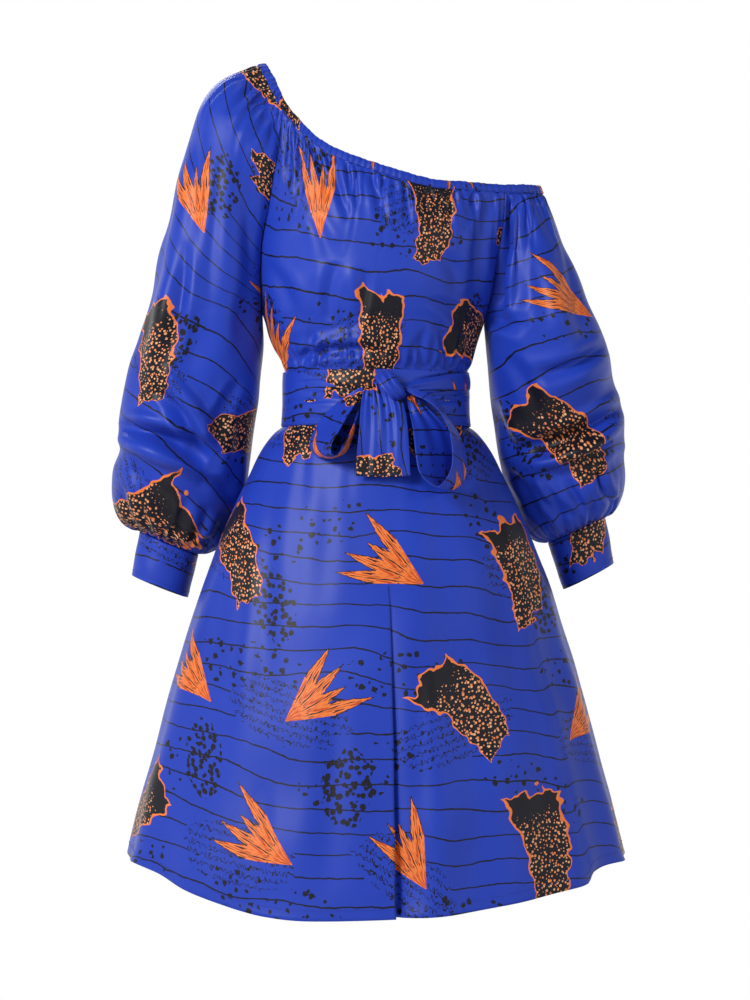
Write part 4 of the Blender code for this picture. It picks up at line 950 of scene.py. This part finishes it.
# One cut piece of cloth, with its row of stitches where it has one.
def clothPiece(node, grid, flat, style, loop=False, line=None, weldFrom=None, doubled=False):
    sides = [printedCotton] if doubled else [printedCotton, wrongSide]
    piece = addShell(node + "_cloth", grid, flat, style, sides, loop, weldFrom)
    dress(piece, node)
    if line is not None:
        name = node + style.get("stitchName", "_stitches")
        sewn(name, line, node, loop, style.get("stitchSeed", 4))


# Bodice: two panels gathered into the neck elastic and over the sash.
bodice = {
    "reach": 42.0, "depth": 2.4, "fullness": 1.25, "cut": (0.42, 0.38), "area": 0.12, "held": "gathered",
    "on": ["neck_casing"], "tuck": 4.0, "tuckUnder": 1.1, "rows": 126, "waistGathers": (24, 34.0, 2.2),
    "unrest": (85.0, 1.3),
}
bodiceFront = {
    **bodice, "columns": 190, "gathers": 27, "seed": 11, "printAt": (0.1, 0.3), "creases": "bodiceFront",
    "seamAllowance": 0.3,
}
bodiceBack = {
    **bodice, "columns": 170, "gathers": 30, "seed": 12, "reach": 44.0, "printAt": (0.9, 0.3),
    "creases": "bodiceBack", "seamAllowance": 3.0,
}


def bodiceRows(count):
    lower = np.linspace(0, sideShare, count // 3)
    return np.concatenate((lower, np.linspace(sideShare, 1, count - count // 3 + 1)[1:]))


def nearestRow(grid, height):
    return np.abs(grid[..., 2].mean(axis=1) - height).argmin()


for name, style, side in (("bodice_front", bodiceFront, -1), ("bodice_back", bodiceBack, 1)):
    grid = bodiceGrid(np.linspace(0, 1, style["columns"]), bodiceRows(style["rows"]), side)[::-1]
    grid = outwards(grid, grid * np.array([0, 0, 1]))
    flat = flatOf(sideTucked(tucked(grid, style["tuck"]), style["seamAllowance"], 0.0), style)
    grid = gathered(grid, style["gathers"], style["seed"], style["reach"], style["depth"])
    overSash = nearestRow(grid, waist["sashTop"])
    count, reach, depth = style["waistGathers"]
    lower = gathered(grid[:overSash][::-1], count, style["seed"] + 5, reach, depth)[::-1]
    grid = np.concatenate((lower, grid[overSash:]))
    grid = restless(creased(grid, [(side, style["creases"])]), style["seed"], *style["unrest"])
    grid = sideTucked(tucked(grid, style["tuck"]), style["seamAllowance"], style["tuckUnder"])
    clothPiece(name, grid, flat, style)
print("bodice made")

# Skirt: two flared panels, with a pleat that opens below the middle of the front.
skirtPanel = {
    "fan": 1400.0, "cut": (0.9, 0.64), "area": 0.385, "held": "hung", "on": ["sash_band"],
    "gathers": (17, 46.0, 0.45), "unrest": (150.0, 1.6), "hem": 12.0, "stitchName": "_hem_stitches",
}
skirtFront = {
    **skirtPanel, "columns": 176, "printAt": (0.1, 2.2), "printTurn": -4, "seed": 21, "stitchSeed": 21,
    "creases": "skirtFront",
}
skirtBack = {
    **skirtPanel, "columns": 150, "printAt": (1.1, 2.2), "seed": 22, "stitchSeed": 22,
    "creases": "skirtBack",
}


def frontAngles(count, down):
    edge = pleatAngle()
    even = np.linspace(-90, 90, count)
    even = even[(even < edge - 0.6) | (even > edge + 0.9)]
    before = even[even < edge]
    roll = edge + np.array([0, 0.04, -0.1, -0.32, -0.25, 0.1, 0.7])
    recess = np.array([0, 0.25, 0.5, 0.8, 0.95, 1, 0.9])
    after = even[even > edge + 0.7]
    spread = np.clip(1 - (after - edge) / pleat["spread"], 0, 1) ** 2
    even = np.concatenate((before, np.linspace(edge - 0.4, edge + 0.6, len(roll)), after))
    rolled = np.concatenate((before, roll, after))
    opened = np.clip((np.asarray(down)[:, None] - pleat["opens"]) / pleat["opening"], 0, 1)     # shut above
    return np.radians(even + (rolled - even) * opened), np.concatenate((before * 0, recess, spread))


skirtDown = np.linspace(0, 1, 150)
frontColumns, frontRecess = frontAngles(skirtFront["columns"], skirtDown)
backColumns = np.radians(np.linspace(-90, 90, skirtBack["columns"]))
for name, style, side, columns, recess in (
    ("skirt_front", skirtFront, -1, frontColumns, frontRecess),
    ("skirt_back", skirtBack, 1, backColumns, None),
):
    grid = skirtGrid(columns, skirtDown, side, recess)
    grid = outwards(grid, grid * np.array([0, 0, 1]))
    flat = flatOf(grid, style)
    underSashRow = nearestRow(grid, waist["sashBottom"]) + 1
    count, reach, depth = style["gathers"]
    upper = gathered(grid[underSashRow:], count, style["seed"] + 5, reach, depth)
    grid = np.concatenate((grid[:underSashRow], upper))
    grid = restless(creased(grid, [(side, style["creases"])]), style["seed"], *style["unrest"])
    clothPiece(name, grid, flat, style, line=rowAt(grid, style["hem"], threadLift))
print("skirt made")

# Sleeves, gathered at neck and cuff, and doubled cuffs.
sleeveStyle = {
    "columns": 170, "held": "gathered", "on": ["neck_casing"], "neckGathers": (17, 50.0, 2.8),
    "cuffGathers": (25, 40.0, 2.8), "unrest": (95.0, 2.2), "tuck": 4.0, "capSteps": 76, "armSteps": 117,
}
sleeves = {
    "left": {
        **sleeveStyle, "printAt": (2.1, 0.4), "printTurn": -32, "seed": 31, "cut": (0.53, 0.67),
        "area": 0.27, "creases": [(-1, "sleeveLeftFront"), (1, "sleeveLeftBack")],
    },
    "right": {
        **sleeveStyle, "printAt": (2.1, 1.6), "printTurn": 12, "seed": 32, "cut": (0.51, 0.5),
        "area": 0.195, "creases": [(-1, "sleeveRightFront"), (1, "sleeveRightBack")],
    },
}
cuffStyle = {
    "wall": 1.6, "printAt": (3.0, 0.4), "cut": (0.225, 0.06), "held": "folded", "seed": 33,
    "unrest": (40.0, 0.7), "hem": 7.0,
}
for hand, sleeve, seam, cuff in (
    ("left", sleeveLeft, raglanLeft, cuffLeft), ("right", sleeveRight, raglanRight, cuffRight),
):
    style = sleeves[hand]
    turns = np.linspace(-1, 1, style["columns"])
    cap = style["capSteps"]
    rows = np.concatenate((np.linspace(0, capRows, cap), np.linspace(capRows, 17, style["armSteps"])[1:]))
    grid = sleeveGrid(sleeve, seam, rows, turns)
    grid = outwards(grid, grid.mean(axis=1, keepdims=True))
    flat = flatOf(tucked(grid, style["tuck"]), style)
    count, reach, depth = style["neckGathers"]
    grid = gathered(grid, count, style["seed"], reach, depth)
    count, reach, depth = style["cuffGathers"]
    grid = gathered(grid[::-1], count, style["seed"] + 5, reach, depth)[::-1]
    grid = restless(creased(grid, style["creases"]), style["seed"], *style["unrest"])
    grid[cap - 1:, -1] = grid[cap - 1:, 0]
    clothPiece("sleeve_" + hand, tucked(grid, style["tuck"]), flat, style, weldFrom=cap)
    grid = cuffGrid(cuff, np.linspace(0, 1, 26), np.linspace(-math.pi, math.pi, 120, endpoint=False))
    grid = outwards(grid, grid.mean(axis=1, keepdims=True), True)
    style = {**cuffStyle, "on": ["sleeve_" + hand]}
    flat = flatOf(grid, style, True)
    grid = restless(grid, style["seed"], *style["unrest"], True)
    clothPiece("cuff_" + hand, grid, flat, style, True, rowAt(grid, style["hem"], threadLift, True))
print("sleeves made")

# Neck elastic in its casing: a folded strip, ruched by the elastic inside it.
casingStyle = {
    "wall": 0.6, "printAt": (3.4, 1.0), "fullness": 1.5, "ruches": 118, "slack": 41, "cut": (1.3, 0.024),
    "held": "gathered", "on": ["sleeve_left", "sleeve_right"], "slot": "elastic_casing",
    "seamDown": 0.86, "seamProud": 1.75,
}
rows = neckRows(0, len(neckEdge), 961)[:-1]
edge, away = neckline(rows)
ahead = unit(neckline(rows + 0.01)[0] - neckline(rows - 0.01)[0])
out = unit(np.cross(ahead, away))
out *= np.where(np.sum(out * (edge - np.array(casing["inside"])), -1) < 0, -1, 1)[:, None]
lengths = np.concatenate(([0], np.cumsum(np.linalg.norm(np.diff(edge, axis=0), axis=1))))
lengths /= lengths[-1] + np.linalg.norm(edge[0] - edge[-1])
ruche = uneven(lengths, casingStyle["ruches"], 5)
slack = 0.35 * uneven(lengths, casingStyle["slack"], 6)
sections = []
for down, proud, share in (     # round the folded strip, from the seam over the top to the inside
    (1.02, 0.9, 0.9), (0.9, 1.15, 1), (0.7, 1.35, 1), (0.45, 1.4, 1), (0.2, 1.1, 1), (0.05, 0.5, 0.8),
    (0, -0.6, 0.5), (0.03, -1.7, 0.4), (0.2, -2.3, 0.6), (0.6, -2.5, 0.6), (1.02, -2.2, 0.4),
):
    ripple = 0.55 * ruche * share * (1 if proud > 0 else -1)
    level = casing["height"] * down + slack - 0.3 * ruche * (down < 0.3)
    sections.append(edge + away * level[:, None] + out * (proud + ripple)[:, None])
grid = np.array(sections)
grid = outwards(grid, grid[[0, -1]].mean(axis=0, keepdims=True), True)
seamLine = edge + away * (casing["height"] * casingStyle["seamDown"]) + out * casingStyle["seamProud"]
clothPiece("neck_casing", grid, flatOf(grid, casingStyle, True), casingStyle, True, seamLine)
print("neck elastic made")


# Sash and bow, all of one long strip: the band, the end that crosses to the right, the knot, two
# loops and the hanging end.
def waistGrid(angles, heights, side, out):
    angle, z = np.broadcast_arrays(np.asarray(angles, float)[None, :], np.atleast_2d(heights.T).T)
    point = torsoPoint(angle, z, side)
    normal = np.stack((np.sin(angle), side * np.cos(angle), z * 0), -1)
    point = point + normal * out
    point[..., 1] += side * waist["seamGap"] * np.abs(np.cos(angle))
    return point


def strip(node, grid, style, loop=False, hem=None):     # doubled cloth: both sides are its right side
    line = None if hem is None else rowAt(grid, hem, threadLift, loop)
    clothPiece(node, grid, flatOf(grid, style, loop), style, loop, line, doubled=True)


sash = {
    "wall": 1.6, "columns": 120, "printAt": (4.0, 0.4), "cut": (0.66, 0.068), "held": "stretched",
    "on": ["bodice_front", "bodice_back"], "hem": 2.4,
}
heights = np.linspace(waist["sashTop"], waist["sashBottom"], 34)
proud = waist["clearance"] + waist["doubledWall"]
front = waistGrid(np.radians(np.linspace(-90, 90, sash["columns"])), heights, -1, proud)
back = waistGrid(np.radians(np.linspace(90, -90, sash["columns"])[1:-1]), heights, 1, proud)
grid = np.concatenate((front, back), 1)
grid = outwards(grid, grid.mean(axis=1, keepdims=True), True)
grid = restless(creased(grid, [(-1, "sashFront"), (1, "sashBack")], True), 41, 60.0, 0.9, True)
strip("sash_band", grid, sash, True, sash["hem"])

# The end that crosses to the right narrows into the knot.
foldStyle = {
    "wall": 0.8, "printAt": (4.4, 1.0), "cut": (0.127, 0.021), "held": "folded", "on": ["sash_band"],
    "area": 0.0022, "puff": 2.3, "ripple": 0.5, "lean": 1.3,
}
crossing = table("angle top bottom out", [
    (11, -402, -411, 9.0), (18, -400, -410.5, 6.0), (25, -397, -409.5, 4.6), (34, -393.5, -408.5, 4.4),
    (50, -389, -407.5, 4.3), (64, -386.5, -407, 4.2), (78, -385.5, -406, 3.4),
])
angles = np.linspace(11, 78, 90)
top, bottom, out = (smooth(crossing["angle"], crossing[name], angles) for name in ("top", "bottom", "out"))
share = np.linspace(0, 1, 22)[:, None]
grid = waistGrid(np.radians(angles), top + (bottom - top) * share, -1, 0.0)
ripple = np.cos(2 * math.pi * (1.5 * share + angles / 70)) * np.exp(-((angles - 11) / 28) ** 2)
puff = foldStyle["puff"] * np.sin(math.pi * share) ** 0.7 + foldStyle["ripple"] * ripple
lean = out + puff + foldStyle["lean"] * share ** 3
ways = np.radians(angles)
grid = grid + np.stack(np.broadcast_arrays(np.sin(ways) * lean, -np.cos(ways) * lean, lean * 0), -1)
grid = outwards(grid, grid * np.array([0, 0, 1]))
strip("sash_fold", grid, foldStyle)

# Loops: each leaves the knot in narrow folds and opens towards its far end.
loopStyle = {"wall": 1.0, "held": "folded", "on": ["bow_knot"], "folds": 1.5, "unrest": (42.0, 1.0)}
loopStyles = {
    "left": {"seed": 51, "cut": (0.2, 0.05), "area": 0.007, "pinch": 0.13, "printAt": (4.8, 0.4)},
    "right": {"seed": 52, "cut": (0.31, 0.06), "area": 0.0145, "pinch": 0.21, "printAt": (4.87, 0.41)},
}
for hand, loop, steps in (("left", loopLeft, 90), ("right", loopRight, 120)):
    rims = []
    for rim in ("front", "back"):
        points = np.column_stack([loop[f"{rim}_{axis}"] for axis in "xyz"])
        rims.append(alongPoints(seenAt(points, points[:, 1:2]), steps))
    parts = np.linspace(0, 1, 24)[None, :, None]
    grid = rims[0][:, None] * (1 - parts) + rims[1][:, None] * parts
    grid = outwards(grid, grid.mean(axis=(0, 1)))
    style = {**loopStyle, **loopStyles[hand]}
    near = np.minimum(np.arange(steps), np.arange(steps)[::-1])[:, None] / steps
    pinch = style["folds"] * np.sin(np.linspace(0, 5 * math.pi, 24))[None, :]
    pinch = pinch * np.exp(-((near / style["pinch"]) ** 2)) * np.clip(near * 40, 0, 1)
    grid = grid + gridNormals(grid) * pinch[..., None]
    strip("bow_loop_" + hand, restless(grid, style["seed"], *style["unrest"]), style)

# Hanging end: soft upright folds that start under the knot.
tailStyle = {
    "wall": 1.2, "printAt": (5.2, 0.4), "printTurn": 90, "cut": (0.07, 0.118), "area": 0.0078,
    "held": "folded", "on": ["bow_knot"], "hem": 2.4, "folds": (1.5, 1.3),
}
hanging = table("left right z y", [
    (-12, 16, -398, -100), (-15, 25, -406, -104.5), (-17, 31, -415.2, -107), (-19, 36, -428, -112),
    (-21, 40, -454, -120), (-24, 42, -485, -124), (-25, 43, -512, -127),
])
places = np.linspace(0, 6, 76)[:, None]
parts = np.linspace(0, 1, 72)[None, :]
left, right, y, z = (byRow(hanging, name, places) for name in ("left", "right", "y", "z"))
strength = np.clip(1.1 - 0.13 * places, 0.2, 1)
broad, narrow = tailStyle["folds"]
fold = broad * strength * np.cos(2 * math.pi * (2.6 * parts + 0.1 * np.sin(places * 1.3)))
fold = fold + narrow * strength ** 2 * np.cos(2 * math.pi * (6.3 * parts + 0.25 - 0.04 * places))
top = z + 7.0 * np.clip(1 - places / 1.5, 0, 1) * (parts - 0.3)
hemLine = 1.6 * np.sin(math.pi * parts) * (places / 6) ** 3
grid = np.stack(np.broadcast_arrays(left + (right - left) * parts, y - fold, top - hemLine), -1)
grid = seenAt(grid, grid[..., 1:2])
grid = outwards(grid, grid + np.array([0, 100, 0]))
strip("sash_tail", grid, tailStyle, hem=tailStyle["hem"])

# Knot: the strip comes over from behind, crosses down to the right and goes back under.
knotStyle = {
    "wall": 1.2, "printAt": (5.6, 0.4), "cut": (0.04, 0.08), "held": "folded", "on": ["sash_band"],
    "area": 0.0024, "seed": 54, "unrest": (16.0, 0.4), "crown": 4.2, "sunk": 2.5, "ridges": (0.95, 0.3),
    "middle": (18.0, -92.0, -400.0),
}
wrap = np.array([
    (6, -92.5, -384), (7.5, -100, -382.5), (10, -109, -386), (15, -115.5, -394), (21, -118, -403),
    (27, -115, -411), (30, -107, -415.5), (31, -97, -415),
], float)
halfWidth = np.array([11, 11.5, 12, 12, 11, 10, 9.5, 9.0])
halfWidth = smooth(np.arange(8.0), halfWidth, np.linspace(0, 7, 60))[:, None]
path = alongPoints(wrap, 60)[:, None]
across = np.linspace(-1, 1, 44)[None, :]
swing = unit(np.array([0.9, 0.0, 0.42]))
broad, narrow = knotStyle["ridges"]
ridges = broad * np.cos(math.pi * (2.7 * across + 0.3)) + narrow * np.cos(math.pi * (7.2 * across + 0.6))
crown = knotStyle["crown"] * (1 - np.abs(across) ** 2.4)
outward = unit(np.cross(np.gradient(path, axis=0), swing))
facing = np.sum(outward * (path - np.array(knotStyle["middle"])), -1, keepdims=True)
outward *= np.where(facing < 0, -1, 1)
tall = np.sin(np.linspace(0.12, 0.88, 60) * math.pi)[:, None]
grid = path + swing * (halfWidth * across)[..., None]
grid = grid + outward * (ridges * tall + crown - knotStyle["sunk"])[..., None]
grid = seenAt(grid, grid[..., 1:2])
grid = outwards(grid, grid.mean(axis=(0, 1)) + np.array([0, 20, 0]))
strip("bow_knot", restless(grid, knotStyle["seed"], *knotStyle["unrest"]), knotStyle)
print("sash and bow made")

# Floor, lights and camera.
studio = {
    "floor": -1.62, "radius": 1.9, "paper": 0.9, "camera": (0.14175, -2.8, -0.5425), "halfHeight": 0.625,
    "aim": (0.1, 0, -0.6),
}
floorMesh = bpy.data.meshes.new("floor")
ring = [
    (studio["radius"] * math.cos(turn), studio["radius"] * math.sin(turn), studio["floor"])
    for turn in np.linspace(0, 2 * math.pi, 96, endpoint=False)
]
floorMesh.from_pydata(ring, [], [tuple(range(len(ring)))])
floor = placed("floor", floorMesh)
white = studio["paper"]
paper = newMaterial("matt white paper", 0.9, (white, white, white, 1))      # a pale, even ground
floorMesh.materials.append(paper)

lights = {      # place, aim, size in metres, watts
    "key": ((-1.6, -2.2, 0.8), (0.1, 0, -0.5), 0.9, 62.0),
    "fill": ((1.9, -2.1, 0.1), studio["aim"], 1.3, 6.0),
    "top": ((0.1, 0.4, 2.2), studio["aim"], 1.2, 6.0),
    "back": ((-0.9, 2.3, 1.5), studio["aim"], 1.4, 26.0),
}
for name, (place, aim, size, power) in lights.items():
    light = bpy.data.lights.new(name, "AREA")
    light.shape = "DISK"
    light.size = size
    light.energy = power
    lamp = placed(name, light)
    lamp.location = place
    lamp.rotation_euler = (Vector(aim) - Vector(place)).to_track_quat("-Z", "Y").to_euler()

camera = placed("camera", bpy.data.cameras.new("camera"))
bpy.context.scene.camera = camera
camera.location = studio["camera"]
camera.rotation_euler = (math.pi / 2, 0, 0)
camera.data.sensor_fit = "VERTICAL"
camera.data.angle = 2 * math.atan(studio["halfHeight"] / -studio["camera"][1])
world = bpy.data.worlds.new("studio")
bpy.context.scene.world = world
world.use_nodes = True
sky = world.node_tree       # a white band round the horizon, dimmer above and below, and in front
_, ahead, height = splitUp(sky.nodes.new("ShaderNodeTexCoord").outputs["Generated"])
ranges = ("Value", "From Min", "From Max", "To Min", "To Max")
strengths = []
for values in ((absolute(height), 0.23, 0.5, 1.0, 0.12), (ahead, -0.8, 0.3, 0.62, 1.0)):
    node = addNode(sky, "ShaderNodeMapRange", dict(zip(ranges, values)), interpolation_type="SMOOTHSTEP")
    strengths.append(node.outputs[0])
sky.nodes["Background"].inputs["Color"].default_value = (1, 1, 1, 1)
sky.links.new(times(*strengths), sky.nodes["Background"].inputs["Strength"])
bpy.context.scene.view_settings.view_transform = "Standard"
